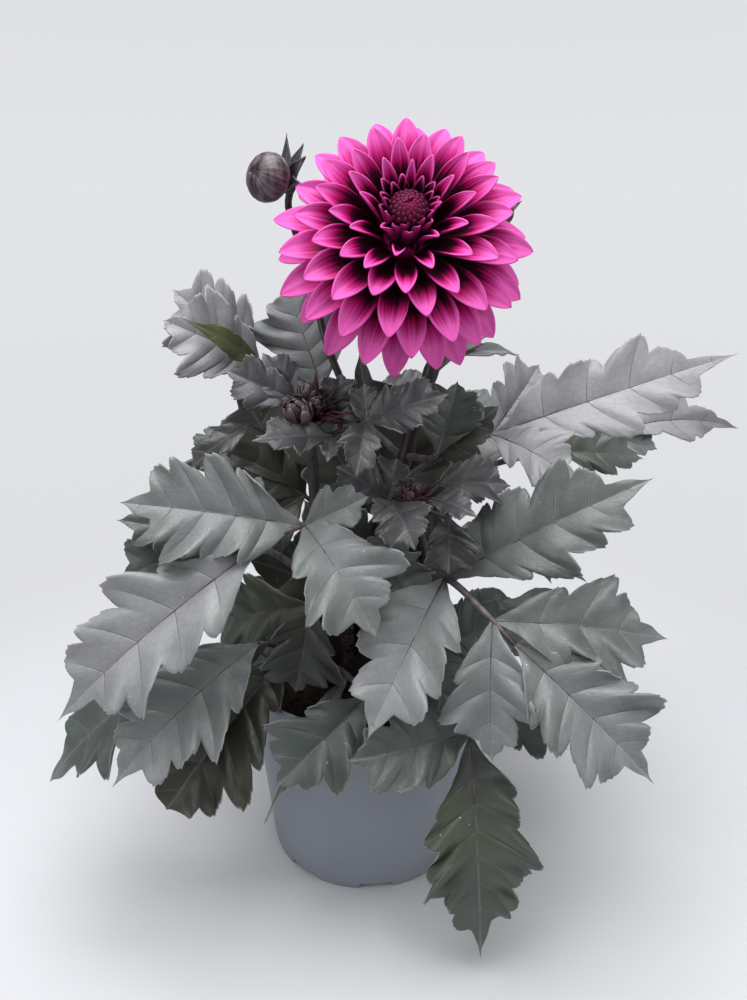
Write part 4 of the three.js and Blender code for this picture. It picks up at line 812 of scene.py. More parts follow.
def soil_parts(seed=4):
    """The potting mix: a low mound with lumps as sums of waves in all directions, and loose crumbs that are
    balls with each corner pulled in or out."""
    draw = np.random.default_rng(seed)
    slope = 8.5 / 86
    radii = np.array([20, 44, 46.3, 50, 53.7, SOIL_RADIUS, 52, 48, 43, 38, 33, 28, 23, 18, 13, 9, 5, 2.0])
    heights = np.array([6, 6, 6.4, 45, 83, 84.6, 86, 87.2, 88] + [SOIL_TOP] * 9)
    radii[2:5] = 48 + slope * heights[2:5] - 2.4
    around = np.linspace(0, 2 * np.pi, SOIL_SIDES, endpoint=False)
    x = radii[:, None] * np.cos(around)
    y = radii[:, None] * np.sin(around)
    waves = draw.normal(0, 1, (24, 2)) * 0.45
    phase = draw.uniform(0, 6.28, 24)
    lumps = np.sin(x[..., None] * waves[:, 0] + y[..., None] * waves[:, 1] + phase).sum(-1) / 5
    lumps += (draw.random(x.shape) - 0.5) * 0.9
    z = heights[:, None] + (heights > 84)[:, None] * lumps * 0.9
    parts = [closed_rings(np.stack([x, y, z], -1), (0, 0, 6), (0, 0, SOIL_TOP))]
    distance = 52 * np.sqrt(draw.random(CRUMBS))
    turn = draw.uniform(0, 2 * np.pi, CRUMBS)
    size = draw.uniform(0.5, 1.5, CRUMBS)
    low = SOIL_TOP - 3.4 * (distance / SOIL_RADIUS) ** 4
    middle = np.stack([distance * np.cos(turn), distance * np.sin(turn), low + size * 0.5], -1)
    polar = np.array([0.25, 0.5, 0.75])[:, None] * np.pi
    spin = np.linspace(0, 2 * np.pi, 5, endpoint=False)
    wide = np.sin(polar)
    rings = np.stack([wide * np.cos(spin), wide * np.sin(spin), 0 * spin - np.cos(polar)], -1)
    crumb = closed_rings(rings, (0, 0, -1), (0, 0, 1))
    corners = len(crumb["points"])
    rough = draw.uniform(0.65, 1.25, (CRUMBS, corners, 1)) * size[:, None, None]
    for each, shape in zip(middle, rough):
        parts.append({**crumb, "points": each + crumb["points"] * shape})
    return parts


# Stems and leaves


def stem_path(name, count=90):
    """The middle line of a stem."""
    return smooth_path(STEMS[name]["path"], count)


def stem_parts(name):
    """A stem and its side branches: tubes that thin towards the top and swell at the leaf joints."""
    spec = STEMS[name]
    middle = stem_path(name)
    radii = np.linspace(*spec["radii"], len(middle))
    for grown in LEAVES:
        if grown["stem"] == name:
            radii = radii + JOINT_SWELL * np.exp(-(((middle[:, 2] - grown["height"]) / JOINT_REACH) ** 2))
    parts = [tube(middle, radii, 20)]
    for branch in spec.get("branches", ()):
        path = smooth_path([at_height(middle, branch["start"]), *branch["path"]], 60)
        parts.append(tube(path, np.linspace(*branch["radii"], len(path)), 14))
    return parts


# One lobe of the margin: how far it stands out, about 0 to 1, at each share of its way. It swells to a point
# at LOBE_PEAK, with two blunt teeth before it and one after, and a short bay follows. Young lobes are
# sharper.
LOBE_SHARES = (0, 0.06, 0.12, 0.2, 0.26, 0.34, 0.44, 0.49, 0.57, 0.62, LOBE_PEAK, 0.7, 0.78, 0.84, 0.91, 0.96)
LOBE_LEVELS = (0, 0.28, 0.52, 0.74, 0.68, 0.84, 0.98, 0.89, 1.0, 1.08, 1.15, 0.98, 0.96, 0.78, 0.5, 0.25)
YOUNG_LEVELS = (0, 0.32, 0.58, 0.82, 0.58, 0.76, 0.98, 0.72, 0.94, 1.06, 1.16, 0.8, 0.88, 0.55, 0.5, 0.3)

# How far the seeds of two leaves lie apart.
LEAF_SEEDS = 7

# How much a leaflet's lobes differ, and how far its margin waves and its lobes' points curl down, as shares
# of the half-width; and its least half-width, and the depth and width of the groove of its midrib.
UNEVEN = 0.15
WAVE = 0.14
CURL = 0.09
LEAST_HALF = 1.1
GROOVE = 0.35
GROOVE_WIDTH = 1.1


def lobed(t, lobes, depth, levels):
    """The share of the half-width left at foot t: the lobe's outline, repeated, cut in by depth. Past the
    last lobe the leaflet's own end lobe swells again before it closes."""
    along = (t - LOBE_START) / (LOBE_END - LOBE_START) * lobes
    share = along - np.floor(along + 1e-9)
    level = np.interp(share, [*LOBE_SHARES, 1], [*levels, 0])
    level = np.where(along < 0, 0, level)
    level = np.where(along > lobes, 0.8 * step(t, LOBE_END, 0.88), level)
    return 1 - depth * (1 - level)


def leaflet(base, seed, tip, face, width, arch, wax, thickness, quilting, levels,
            fold=14, lobes=3, depth=0.36, twist=0, widest=0.4, taper=2.8):
    """A leaflet's blade, [t, s]: t is the foot of a side vein on the midrib and s runs along that vein from
    margin to margin. The midrib is a quadratic arc that bows towards face. The half-width swells as t^a
    (1-t)^(taper-a), where a is taper times the foot where it is widest, and is cut into uneven lobes; side
    veins lean forwards, more so towards the tip; both halves fold up, the margin waves and the lobes' points
    curl down. Between veins the blade bulges by the size of a sine of the vein count, which leaves a crease
    along each vein."""
    end = np.array(tip, float)
    length, _, up = chord_frame(base, end, face)
    middle = (base + end) / 2 + up * arch * length
    span = (LOBE_END - LOBE_START) / lobes
    feet = [np.linspace(0, LOBE_START, 4, endpoint=False)]
    for k in range(lobes):
        start = LOBE_START + span * k
        feet.append(start + span * np.array(LOBE_SHARES))
    feet.append(np.linspace(LOBE_END, 1, 9))
    t = np.concatenate(feet)[:, None]
    s = both_sides(0.03, 0.09, 0.19, 0.31, 0.44, 0.57, 0.7, 0.82, 0.92, 0.98, 1)
    across = np.abs(s)
    centre, tangent = arc(base, middle, end, t)
    side = unit(np.cross(tangent, up))
    out = np.cross(side, tangent)
    turn = np.radians(twist) * t
    side, out = side * np.cos(turn) - out * np.sin(turn), out * np.cos(turn) + side * np.sin(turn)
    power = taper * widest
    envelope = (t / widest) ** power * (np.maximum(1 - t, 0) / (1 - widest)) ** (taper - power)
    inside = step(t, LOBE_START * 0.5, LOBE_START * 1.5)
    hand = np.sign(s)
    uneven = 1 + UNEVEN * np.sin(t * lobes * 4.3 + hand * 2.3 + seed * 1.9) * inside * np.abs(hand)
    reach = width / 2 * envelope * lobed(t, lobes, depth * 0.9, levels) * uneven
    reach = np.maximum(LEAST_HALF * np.sqrt(np.maximum(1 - t, 0)), reach)
    phase = (t - LOBE_START) / span - LOBE_PEAK
    shift = np.minimum(reach * (0.45 + 0.4 * t), (1 - t) * length * 0.9)
    forward = shift * (0.7 * across + 0.3 * across**2.4)
    forward = forward + hand * across * 0.04 * length * math.sin(seed * 2.7 + 1) * inside * (1 - t)
    wave = inside * np.sin(t * lobes * 7.4 + hand * 1.7 + seed * 2.1)
    rise = math.sin(math.radians(fold))
    lift = reach * (rise * (1.25 * across - 0.25 * across**2) + WAVE * wave * across**2)
    bulge = (np.abs(np.sin(np.pi * phase)) ** 0.85 - 0.45) * inside * (1 - 0.5 * t)
    lift = lift + quilting * reach * bulge * 2.6 * (across * (1 - across**2)) ** 0.8
    point_down = (np.cos(2 * np.pi * phase) * CURL + 0.04) * inside
    lift = lift - reach * point_down * across**4
    lift = lift - GROOVE * np.exp(-((reach * across / GROOVE_WIDTH) ** 2)) * inside * (1 - t)
    lift = lift + 0.03 * reach * np.sin(s * 7 + seed) * np.sin(t * 17 + seed * 0.7) * across
    spot = reach * math.cos(math.radians(fold)) * s
    points = carried(centre, (side, spot), (tangent, forward), (out, lift))
    # The tint is a random tone plus the leaf's wax offset, which is partly painted light: a sheen on the lit
    # upper leaves, shade on the inner ones.
    tint = 0.25 + 0.5 * float(chance(seed, 3)) + wax
    skin = sheet(points, thickness, reach * s, phase, t, across, tint)
    # The midrib runs in the groove, a little proud of the blade, and thins to the tip.
    thick = 0.08 + 0.34 * (1 - t[:-1]) ** 1.3
    line = centre[:-1] + out[:-1] * (0.16 + 0.25 * (1 - inside[:-1]) - 0.35 * thick)
    return [skin, tube(line, thick[:, 0] + 0.07, 8, tint, 1)]


def stalk_parts(root, spec, radii, seed, **shape):
    """A leaf stalk, a tapering tube through its joints, with its leaflets rooted a little inside it."""
    joints = [np.asarray(root, float), *np.asarray(spec["way"], float)]
    path = smooth_path(joints, 10 * len(joints))
    parts = [tube(path, np.linspace(*radii, len(path)), 12, 0.5, 1)]
    for k, own in enumerate(spec["leaflets"]):
        own = {**shape, **own, "wax": spec["wax"] + own.get("wax", 0)}
        start = joints[own.pop("at")]
        inward = unit(start - np.asarray(own["tip"], float)) * (0.5 + 0.13 * k)
        parts += leaflet(start + inward, seed + k, **own)
    return parts


# Bloom, calyx and buds

BLOOM_CENTRE = np.array((15.0, -25.0, 295.0))
BLOOM_PITCH = math.radians(30)
BLOOM_YAW = math.radians(2)
BLOOM_AXIS = np.array((math.sin(BLOOM_YAW) * math.cos(BLOOM_PITCH),
                       -math.cos(BLOOM_YAW) * math.cos(BLOOM_PITCH),
                       math.sin(BLOOM_PITCH)))
BLOOM_ACROSS = np.array((math.cos(BLOOM_YAW), math.sin(BLOOM_YAW), 0.0))
BLOOM_UP = np.cross(BLOOM_ACROSS, BLOOM_AXIS)
RECEPTACLE = 11.0
HEART_MIDDLE = 24.0
CALYX_BRACTS = 6
PETAL_THICKNESS = 0.6


def radial(azimuth):
    """The direction square to the bloom's axis at an azimuth."""
    return BLOOM_ACROSS * math.cos(azimuth) + BLOOM_UP * math.sin(azimuth)


def along_bloom(angle, out, distance):
    """The point at an angle off the bloom's axis towards out, at a distance from the bloom's middle."""
    return BLOOM_CENTRE + (BLOOM_AXIS * math.cos(angle) + out * math.sin(angle)) * distance


def floret(root, lean, tip, out, width, bend, share, seed):
    """One petal, [t, s]: a quadratic arc from claw to tip, across which lies a circular arc of bend to
    either side. The width swells as a sine to two thirds of the length and closes as (1 - x^2)^0.85 to the
    tip, and the arc opens along the length."""
    t = np.concatenate([np.linspace(0, 0.7, 13, endpoint=False), np.linspace(0.7, 1, 12)])[:, None]
    s = both_sides(0.19, 0.38, 0.56, 0.72, 0.86, 0.96, 1)
    centre, tangent = arc(root, lean, tip, t)
    side = np.cross(out, BLOOM_AXIS)
    inner = unit(np.cross(side, tangent))
    roll = t * share * 0.5 * (chance(seed, 9) - 0.5)
    side, inner = side * np.cos(roll) + inner * np.sin(roll), inner * np.cos(roll) - side * np.sin(roll)
    late = np.clip((t - 0.66) / 0.34, 0, 1)
    swell = np.where(t < 0.66, 0.16 + 0.8 * np.sin(np.clip(t / 0.66, 0, 1) * np.pi / 2) ** 1.3,
                     0.96 * np.maximum(1 - late**2, 0) ** 0.85)
    half = width / 2 * swell
    bend = bend * (1 - 0.45 * t**2 * min(1, 0.25 + 4 * share))
    spot = half * np.sin(bend * s) / bend * 1.1
    lift = half * (1 - np.cos(bend * s)) / bend
    lift = lift + 0.06 * half * np.exp(-((s / 0.1) ** 2)) * share * step(t, 0.3, 0.7)
    lift = lift + 0.05 * half * np.sin(s * 5 + seed * 1.7) * step(t, 0.4, 0.9)
    lift = lift + 0.035 * half * np.cos(s * 8.5) * step(t, 0.2, 0.6)
    points = carried(centre, (side, spot), (inner, lift))
    return sheet(points, PETAL_THICKNESS, s, share, t, np.abs(s), chance(seed, 4))


def petal(index, count, radius, front):
    """A petal of the golden spiral: share, from 0 at the heart to 1 at the back, sets how far it leans off
    the axis, its width, and how open its half pipe is."""
    share = index / (count - 1)
    out = radial(index * GOLDEN_ANGLE + 0.08 * (chance(index, 6) - 0.5) * share)
    root = BLOOM_CENTRE + BLOOM_AXIS * (7.5 - 12 * share) + out * (7 + 1.5 * math.sin(math.pi * share))
    off_axis = 21 + 91 * share**0.9 + 4 * (chance(index, 1) - 0.5) + 3 * (chance(index, 7) - 0.5)
    tip_angle = math.radians(off_axis)
    dome = front + (radius - front) * min(1, tip_angle / (math.pi / 2))
    dome *= 0.95 + 0.05 * chance(index, 2) + 0.05 * chance(index, 3) * share
    tip = along_bloom(tip_angle, out, dome)
    lean = along_bloom(tip_angle - math.radians(4 + 18 * share), out, 10 + np.linalg.norm(root - tip) * 0.5)
    width = 5.5 + 7 * min(1, share * 2.2) + 0.8 * (chance(index, 8) - 0.5)
    return floret(root, lean, tip, out, width, 2.2 - 1.45 * share**0.45, share, index)


def scales(centre, axis, radii, base_polar, tip_polar, width, lift, thickness, seed=0, material=0):
    """Overlapping scales on a ball: scale i starts at polar angle base_polar[i] from the axis and closes in
    a point at tip_polar[i], both in degrees, a golden angle on from the last. Points are spread across the
    scale, pushed back onto the ball, raised by lift towards the tip, and the ball is squashed to radii
    (across, along)."""
    axis = unit(axis)
    first = unit(np.cross(axis, (0.3, 0.5, 0.81)))
    second = np.cross(axis, first)
    t = np.linspace(0, 1, 11)[:, None]
    s = both_sides(0.26, 0.52, 0.78, 0.93, 1)
    shape = np.sqrt(np.maximum(1 - np.abs(1.7 * t - 0.7) ** 2.4, 0)) * (1 - 0.15 * t)
    parts = []
    count = len(tip_polar)
    starts = np.radians(np.broadcast_to(base_polar, count))
    ends = np.radians(tip_polar)
    for i, spread_to in enumerate(np.broadcast_to(width, count)):
        turn = i * GOLDEN_ANGLE + seed
        out = first * math.cos(turn) + second * math.sin(turn)
        side = np.cross(axis, out)
        polar = starts[i] + (ends[i] - starts[i]) * t
        line = axis * np.cos(polar) + out * np.sin(polar)
        spread = spread_to * shape * s
        grid = unit(line[:, None] + side * spread[..., None])
        grow = 1 + lift * t - 0.03 * (np.abs(s) - 0.4) ** 2 + 0.05 * (1 - s**2) * np.sin(np.pi * t)
        grid = grid * grow[..., None]
        tall = grid @ axis
        flat = grid - tall[..., None] * axis
        points = centre + flat * radii[0] + tall[..., None] * axis * radii[1]
        points[-1] = points[-1, 5]
        parts.append(sheet(points, thickness, s, i / count, t, np.abs(s), chance(i, seed + 6), material))
    return parts


def ball(centre, axis, radii, sides=24, rings=14, material=0):
    """A ball squashed to radii (across, along) about an axis."""
    polar = np.linspace(np.pi, 0, rings + 2)[1:-1]
    axis = unit(axis)
    line = centre + axis * (np.cos(polar) * radii[1])[:, None]
    part = tube(line, np.sin(polar) * radii[0], sides, material=material)
    part["points"][-2:] = centre - axis * radii[1], centre + axis * radii[1]
    return part


def bract(base, tip, face, width, arch, cup, seed, material=0):
    """A small lance-shaped blade along a quadratic arc: its half-width is the sine of the length, drawn to
    a point, and it is rolled up at the sides by cup."""
    tip = np.array(tip, float)
    length, chord, up = chord_frame(base, tip, face)
    side = np.cross(chord, up)
    middle = (base + tip) / 2 - up * arch * length
    t = np.linspace(0, 1, 15)[:, None]
    s = both_sides(0.35, 0.7, 0.92, 1)
    line = arc(base, middle, tip, t)[0]
    half = width / 2 * (0.42 + 0.58 * np.sin(np.clip(t / 0.42, 0, 1) * np.pi / 2))
    half = half * (1 - step(t, 0.45, 1.02) ** 0.9)
    spot = half * s
    lift = half * cup * s**2 + 0.06 * width * np.sin(t * 9 + seed + s)
    points = carried(line, (side, spot), (up, lift))
    return sheet(points, 0.7, spot, 0, t, np.abs(s), chance(seed, 9), material)


def bud_parts(spec, seed):
    """A closed bud on its neck: a squashed ball with rows of overlapping scales, and bracts at the neck."""
    neck = np.asarray(spec["neck"], float)
    centre = np.asarray(spec["centre"], float)
    axis = unit(centre - neck)
    radii = (spec["radius"] * 0.94, spec["radius"] * spec["flat"] * 0.94)
    reach = np.linalg.norm(centre - neck)
    line = neck + axis * np.linspace(-0.5, reach * 0.5, 8)[:, None]
    parts = [ball(centre, axis, radii, material=1),
             tube(line, np.linspace(2.4, 3.8, 8), 16, material=1)]
    order = np.linspace(1, 0, 13)
    parts += scales(centre, axis, radii, 165.0, 4 + 14 * order, 0.4 + 0.1 * order, 0.015, 0.5, seed)
    for k, (tip, width) in enumerate(spec["bracts"]):
        root = neck + axis * 1.2
        root = root + unit(np.asarray(tip, float) - root) * 1.4
        parts.append(bract(root, tip, axis + np.array((0, -0.9, 0.4)), width, -0.1, 0.5, seed + k, 2))
    return parts


def knot_parts(spec, seed):
    """A knot of young buds on short necks: each a little ball under papery scales that begin to open, more so
    on the largest, between bracts and a spray of narrow curled bracts that spread by the golden angle."""
    foot = np.asarray(spec["foot"], float)
    parts = []
    for k, (x, y, z, radius) in enumerate(spec["balls"]):
        centre = np.array((x, y, z), float)
        axis = unit(centre - foot + (0, 0, radius * 1.5))
        line = foot + (centre - foot) * np.linspace(0, 0.8, 7)[:, None]
        parts.append(tube(line, np.linspace(1.3, radius * 0.6, 7), 12, material=1))
        parts.append(ball(centre, axis, (radius * 0.68, radius * 0.8), 16, 10, material=1))
        for ring in range(3):
            order = chance(np.arange(5), ring + seed)
            across = radius * (0.62 + 0.1 * ring)
            along = radius * (0.98 - 0.06 * ring)
            parts += scales(centre, axis, (across, along), 160, 6 + 22 * ring + 20 * order,
                            0.5 + 0.15 * order, 0.05 + 0.16 * ring, 0.45, seed + k + ring * 2, 2)
    for k, tip in enumerate(spec["bracts"]):
        tip = np.asarray(tip, float)
        root = foot + unit(tip - foot) * 0.8
        parts.append(bract(root, tip, (foot - tip) * (1, 1, 0), 4, 0.1, 0.4, seed + k, 3))
    reach = spec["spray"]
    for k in range(spec["curls"]):
        turn = k * GOLDEN_ANGLE + seed
        tilt = math.radians(20 + 52 * chance(k, seed))
        lean = np.array(spec["lean"], float)
        way = unit(lean + (math.cos(turn) * math.sin(tilt), math.sin(turn) * math.sin(tilt), math.cos(tilt)))
        length = reach * (0.75 + 0.7 * chance(k, seed + 2))
        width = reach * (0.16 + 0.1 * chance(k, seed + 3))
        face = np.cross(way, (math.sin(k * 2.1), math.cos(k * 1.7), 0.4))
        arch = 0.3 * chance(k, seed + 4)
        parts.append(bract(foot + way, foot + way * length, face, width, arch, 1.1, seed + k, 3))
    return parts


def heart_parts(florets=18, count=62):
    """The bloom's heart: a dark ball under a spiral of scales that close in at its top, and a ring of small
    florets round it, rolled to half pipes, which lean out more on the lower side."""
    centre = BLOOM_CENTRE + BLOOM_AXIS * HEART_MIDDLE
    order = np.linspace(1, 0, count)
    parts = [ball(centre, BLOOM_AXIS, (7.0, 8.2), 20, 12)]
    parts.append(tube(BLOOM_CENTRE + BLOOM_AXIS * np.linspace(9, 23, 6)[:, None], np.linspace(5, 6.6, 6), 16))
    parts += scales(centre, BLOOM_AXIS, (6.9, 7.6), 50 + 70 * order, 2 + 46 * order, 0.08 + 0.1 * order, 0.26,
                    0.5, material=1)
    for k in range(florets):
        out = radial(k * GOLDEN_ANGLE + 0.9)
        share = k / florets
        root = BLOOM_CENTRE + BLOOM_AXIS * 11 + out * 7
        low = max(0.0, -out @ BLOOM_UP)
        tip = along_bloom(math.radians(13.5 + 6 * share + 9 * low), out, 33.5 + 2 * chance(k, 8) - 3 * low)
        lean = along_bloom(math.radians(15 + 5 * share), out, 25)
        parts.append(floret(root, lean, tip, out, 4.4 + 1.8 * share, 1.7, 0.0, 90 + k))
    return parts


def calyx_parts():
    """The green cup behind the bloom: a ball under a row of broad scales, a neck turned about the bloom's
    axis, and six bracts bent back."""
    back = -BLOOM_AXIS
    line = BLOOM_CENTRE + back * np.array([4.0, 8, 11.3, 13, 14.5, 16.5, 18, 18.8])[:, None]
    parts = [tube(line, np.array([6.0, 8.6, 8.2, 7.6, 6.6, 4.6, 3.8, 3.4]), 24, material=1)]
    parts += scales(BLOOM_CENTRE, back, (11.6, 12.2), 22.0, np.linspace(78, 88, 9), 0.42, 0.06, 0.6, 3)
    for k in range(CALYX_BRACTS):
        out = radial(k / CALYX_BRACTS * 2 * math.pi + 0.3)
        root = along_bloom(math.pi * 0.86, out, 13.8)
        tip = along_bloom(math.pi * 0.74, out, 30 + 3 * chance(k, 5))
        parts.append(bract(root, tip, BLOOM_AXIS, 8, 0.12, 0.4, k))
    return parts


# Operators, one for each group of pieces and one for the stage


class DAHLIA_OT_pot(bpy.types.Operator):
    """Makes the moulded pot"""

    bl_idname = "dahlia.pot"
    bl_label = "Pot"

    def execute(self, context):
        size = context.scene.dahlia_pot
        part = pot_part(*(each * PER_METRE for each in (size.base_radius, size.rim_radius, size.height)))
        material = pot_material("moulded polypropylene", size.plastic)
        piece = make_piece("pot_shell", [part], [material], ["pot"])
        piece.data.set_sharp_from_angle(angle=SHARP_ANGLE)
        return {"FINISHED"}


class DAHLIA_OT_soil(bpy.types.Operator):
    """Fills the pot with potting mix"""

    bl_idname = "dahlia.soil"
    bl_label = "Soil"

    def execute(self, context):
        material = soil_material("peat potting mix", "#0e0a08", "#2c221b")
        make_piece("potting_mix", soil_parts(), [material], ["soil"])
        return {"FINISHED"}


class DAHLIA_OT_stems(bpy.types.Operator):
    """Grows the stems with their side branches"""

    bl_idname = "dahlia.stems"
    bl_label = "Stems"

    def execute(self, context):
        for name in STEMS:
            make_piece(name + "_skin", stem_parts(name), [skin_material("stem skin")], [name])
        return {"FINISHED"}


class DAHLIA_OT_leaves(bpy.types.Operator):
    """Grows the compound leaves"""

    bl_idname = "dahlia.leaves"
    bl_label = "Leaves"

    def execute(self, context):
        size = context.scene.dahlia_foliage
        shape = dict(thickness=size.thickness * PER_METRE, quilting=size.quilting, levels=LOBE_LEVELS)
        materials = [leaf_material("grown dahlia leaf", size.leaf, size.wax, "#4c5632"),
                     skin_material("leaf stalk skin")]
        for index, spec in enumerate(LEAVES):
            root = at_height(stem_path(spec["stem"]), spec["height"])
            seed = LEAF_SEEDS * (index if index < OUTER_LEAVES else index + len(YOUNG))
            parts = stalk_parts(root, spec, STALK_RADII, seed, **shape)
            make_piece(spec["name"] + "_blades", parts, materials, [spec["name"]])
        return {"FINISHED"}


class DAHLIA_OT_young_leaves(bpy.types.Operator):
    """Grows the clusters of young leaves where the shorter stems end"""

    bl_idname = "dahlia.young_leaves"
    bl_label = "Young leaves"

    def execute(self, context):
        size = context.scene.dahlia_foliage
        shape = dict(thickness=size.thickness * PER_METRE, quilting=size.quilting, levels=YOUNG_LEVELS)
        materials = [leaf_material("young dahlia leaf", size.young, "#3e3c41", "#34362a", 0.0),
                     skin_material("stem skin")]
        steps = 40
        for index, (name, crown) in enumerate(YOUNG.items()):
            axis = smooth_path([stem_path(crown["stem"])[-1], *crown["path"]], steps + 1)
            parts = [tube(axis, np.linspace(*crown["radii"], steps + 1), 14, 0.5, 1)]
            for k, spec in enumerate(crown["stalks"]):
                root = axis[round((0.45 + 0.5 * k / len(crown["stalks"])) * steps)]
                seed = LEAF_SEEDS * (OUTER_LEAVES + index) + 3 * k
                parts += stalk_parts(root, spec, YOUNG_STALK_RADII, seed, **shape)
            make_piece(name + "_blades", parts, materials, [name])
        return {"FINISHED"}


class DAHLIA_OT_bloom(bpy.types.Operator):
    """Builds the bloom: petals, heart and calyx"""

    bl_idname = "dahlia.bloom"
    bl_label = "Bloom"

    def execute(self, context):
        size = context.scene.dahlia_bloom
        radius = size.radius * PER_METRE
        front = size.front * PER_METRE
        # The florets round the heart are a darker copy of the petal material, painted shade deep in the
        # bloom, and the unopened ones on it darker still.
        velvet = petal_material("ray floret", size.tip, size.middle, size.foot, 0.52)
        shaded, unopened = (
            petal_material(name, [c * light for c in tip], [c * dark for c in size.middle], size.foot, 0.66)
            for name, tip, light, dark in (
                ("inner floret", size.tip, 0.85, 0.7), ("unopened floret", size.middle, 0.66, 0.42)))
        parts = [petal(k, size.petals, radius, front) for k in range(size.petals)]
        parts.append(ball(BLOOM_CENTRE, BLOOM_AXIS, (RECEPTACLE - 1.5, RECEPTACLE - 0.5)))
        make_piece("ray_florets", parts, [velvet], ["bloom_petals"])
        make_piece("heart_florets", heart_parts(), [shaded, unopened], ["bloom_heart"])
        materials = [skin_material("calyx scale"), skin_material("stem skin")]
        make_piece("calyx_scales", calyx_parts(), materials, ["bloom_calyx"])
        return {"FINISHED"}


class DAHLIA_OT_buds(bpy.types.Operator):
    """Builds the closed buds with their bracts"""

    bl_idname = "dahlia.buds"
    bl_label = "Buds"

    def execute(self, context):
        scale = skin_material("bud scale", ridges=0.05)
        core = skin_material("bud core")
        sepal = skin_material("papery sepal")
        curl = skin_material("curled bract")
        for seed, (name, spec) in enumerate(BUDS.items()):
            materials = [scale, core, skin_material("bract")]
            make_piece(name + "_scales", bud_parts(spec, seed), materials, [name])
        for seed, (name, spec) in enumerate(KNOTS.items()):
            parts = knot_parts(spec, seed + 5)
            make_piece(name + "_scales", parts, [scale, core, sepal, curl], [name])
        return {"FINISHED"}


# Lights as name, share of the key light's power, side length, place and turn in degrees: one overhead, one
# low at each side and one at the back.
LIGHTS = (
    ("key", 1, 0.8, (-0.04, -0.15, 1.05), (8, -2, 0)),
    ("right", 0.15, 0.6, (0.7, -0.5, 0.4), (72, 0, 55)),
    ("left", 0.2, 0.6, (-0.7, -0.5, 0.5), (68, 0, -55)),
    ("back", 0.15, 0.6, (0.2, 0.8, 0.7), (-50, 0, -15)),
)

# The camera's place in metres and its tilt, and the rings of the floor.
CAMERA_PLACE = (0.0035, -0.366, 0.317)
CAMERA_TILT = math.radians(69.7)
SENSOR_WIDTH = 36
FLOOR_RINGS = (0.05, 0.2, 0.4, 0.6)
FLOOR_SIDES = 96


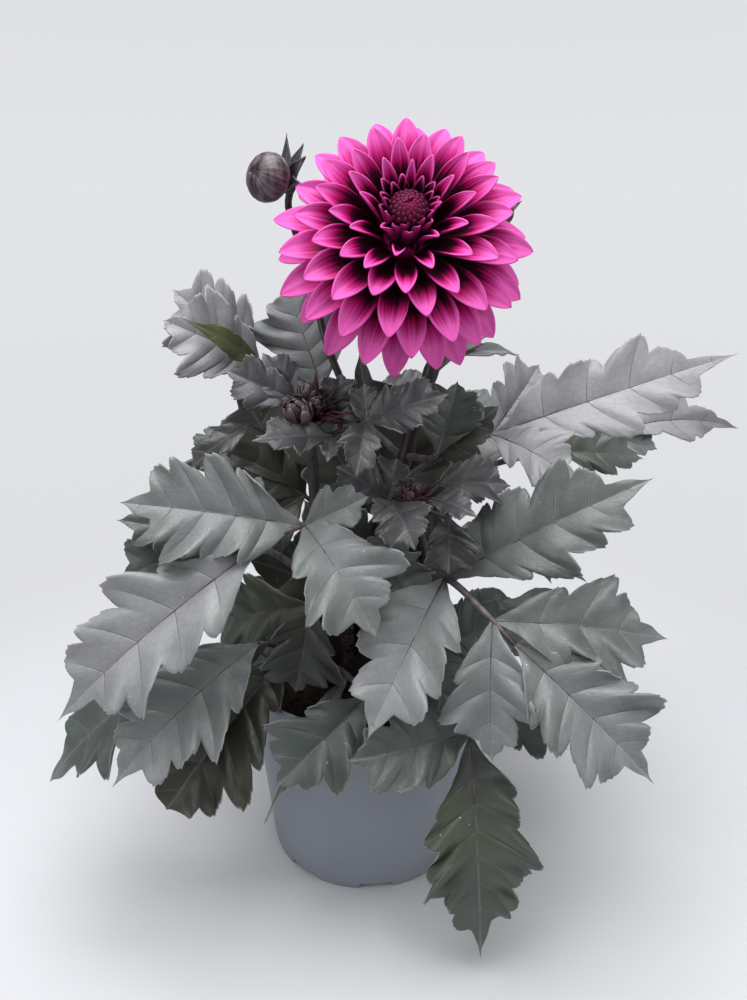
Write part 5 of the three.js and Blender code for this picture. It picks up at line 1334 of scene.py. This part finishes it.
class DAHLIA_OT_stage(bpy.types.Operator):
    """Sets the floor, the soft lights and the camera"""

    bl_idname = "dahlia.stage"
    bl_label = "Stage"

    def execute(self, context):
        stage = context.scene.dahlia_stage
        around = np.linspace(0, 2 * np.pi, FLOOR_SIDES, endpoint=False)
        rings = np.array(FLOOR_RINGS)[:, None]
        grid = np.stack([rings * np.cos(around), rings * np.sin(around), 0 * rings + 0 * around], -1)
        index = np.arange(len(rings) * FLOOR_SIDES).reshape(-1, FLOOR_SIDES)
        turned = np.roll(index, -1, axis=1)
        quads = np.stack([index[:-1], index[1:], turned[1:], turned[:-1]], -1).reshape(-1, 4)
        mesh = bpy.data.meshes.new("floor")
        mesh.from_pydata(grid.reshape(-1, 3).tolist(), [], quads.tolist() + [index[0].tolist()])
        mesh.materials.append(floor_material("matt paper floor"))
        floor = bpy.data.objects.new("floor", mesh)
        context.scene.collection.objects.link(floor)

        context.scene.view_settings.view_transform = "Standard"
        world = context.scene.world or bpy.data.worlds.new("studio")
        context.scene.world = world
        world.use_nodes = True
        tree = world.node_tree
        # A plain wall with painted light: a little brighter at floor level than overhead.
        way = add_node(tree, "SeparateXYZ", [add_node(tree, "TexCoord").outputs["Generated"]])
        up = add_node(tree, "MapRange", [way.outputs["Z"], -0.6, 0.6])
        stops = ((0.0, "#dcdde1"), (1.0, "#d2d3d8"), (0.5, stage.backdrop))
        wall = add_node(tree, "ValToRGB", [up], stops)
        # The wall is seen in full, and gives less light than the lamps.
        seen = add_node(tree, "LightPath").outputs["Is Camera Ray"]
        strength = add_node(tree, "MapRange", {0: seen, 3: 0.36, 4: 1.0})
        fill(tree, tree.nodes["Background"], {"Color": wall, "Strength": strength})

        for name, share, width, place, turn in LIGHTS:
            data = bpy.data.lights.new(name, "AREA")
            data.energy = stage.key_power * share
            data.size = width
            light = bpy.data.objects.new(name, data)
            light.location = place
            light.rotation_euler = [math.radians(a) for a in turn]
            context.scene.collection.objects.link(light)

        data = bpy.data.cameras.new("camera")
        data.lens = stage.lens
        data.sensor_width = SENSOR_WIDTH
        camera = bpy.data.objects.new("camera", data)
        camera.location = CAMERA_PLACE
        camera.rotation_euler = (CAMERA_TILT, 0, 0)
        context.scene.collection.objects.link(camera)
        context.scene.camera = camera
        return {"FINISHED"}


STEPS = ("stage", "pot", "soil", "stems", "leaves", "young_leaves", "buds", "bloom")


class DAHLIA_PT_panel(bpy.types.Panel):
    """Lists the pieces of the plant and their sizes and colours"""

    bl_idname = "DAHLIA_PT_panel"
    bl_label = "Potted dahlia"
    bl_space_type = "VIEW_3D"
    bl_region_type = "UI"
    bl_category = "Dahlia"

    def draw(self, context):
        for step_name in STEPS:
            self.layout.operator("dahlia." + step_name)
        for name in SETTINGS:
            group = getattr(context.scene, name)
            for key in group.bl_rna.properties.keys()[2:]:
                self.layout.prop(group, key)


SETTINGS = dict(dahlia_pot=DahliaPotSettings, dahlia_foliage=DahliaFoliageSettings,
                dahlia_bloom=DahliaBloomSettings, dahlia_stage=DahliaStageSettings)
OPERATORS = (DAHLIA_OT_pot, DAHLIA_OT_soil, DAHLIA_OT_stems, DAHLIA_OT_leaves, DAHLIA_OT_young_leaves,
             DAHLIA_OT_bloom, DAHLIA_OT_buds, DAHLIA_OT_stage)


def register():
    for each in (*SETTINGS.values(), *OPERATORS, DAHLIA_PT_panel):
        bpy.utils.register_class(each)
    for key, group in SETTINGS.items():
        setattr(bpy.types.Scene, key, bpy.props.PointerProperty(type=group))


def unregister():
    for key in SETTINGS:
        delattr(bpy.types.Scene, key)
    for each in (DAHLIA_PT_panel, *reversed(OPERATORS), *SETTINGS.values()):
        bpy.utils.unregister_class(each)


def main():
    register()
    for step_name in STEPS:
        getattr(bpy.ops.dahlia, step_name)()


if __name__ == "__main__":
    main()
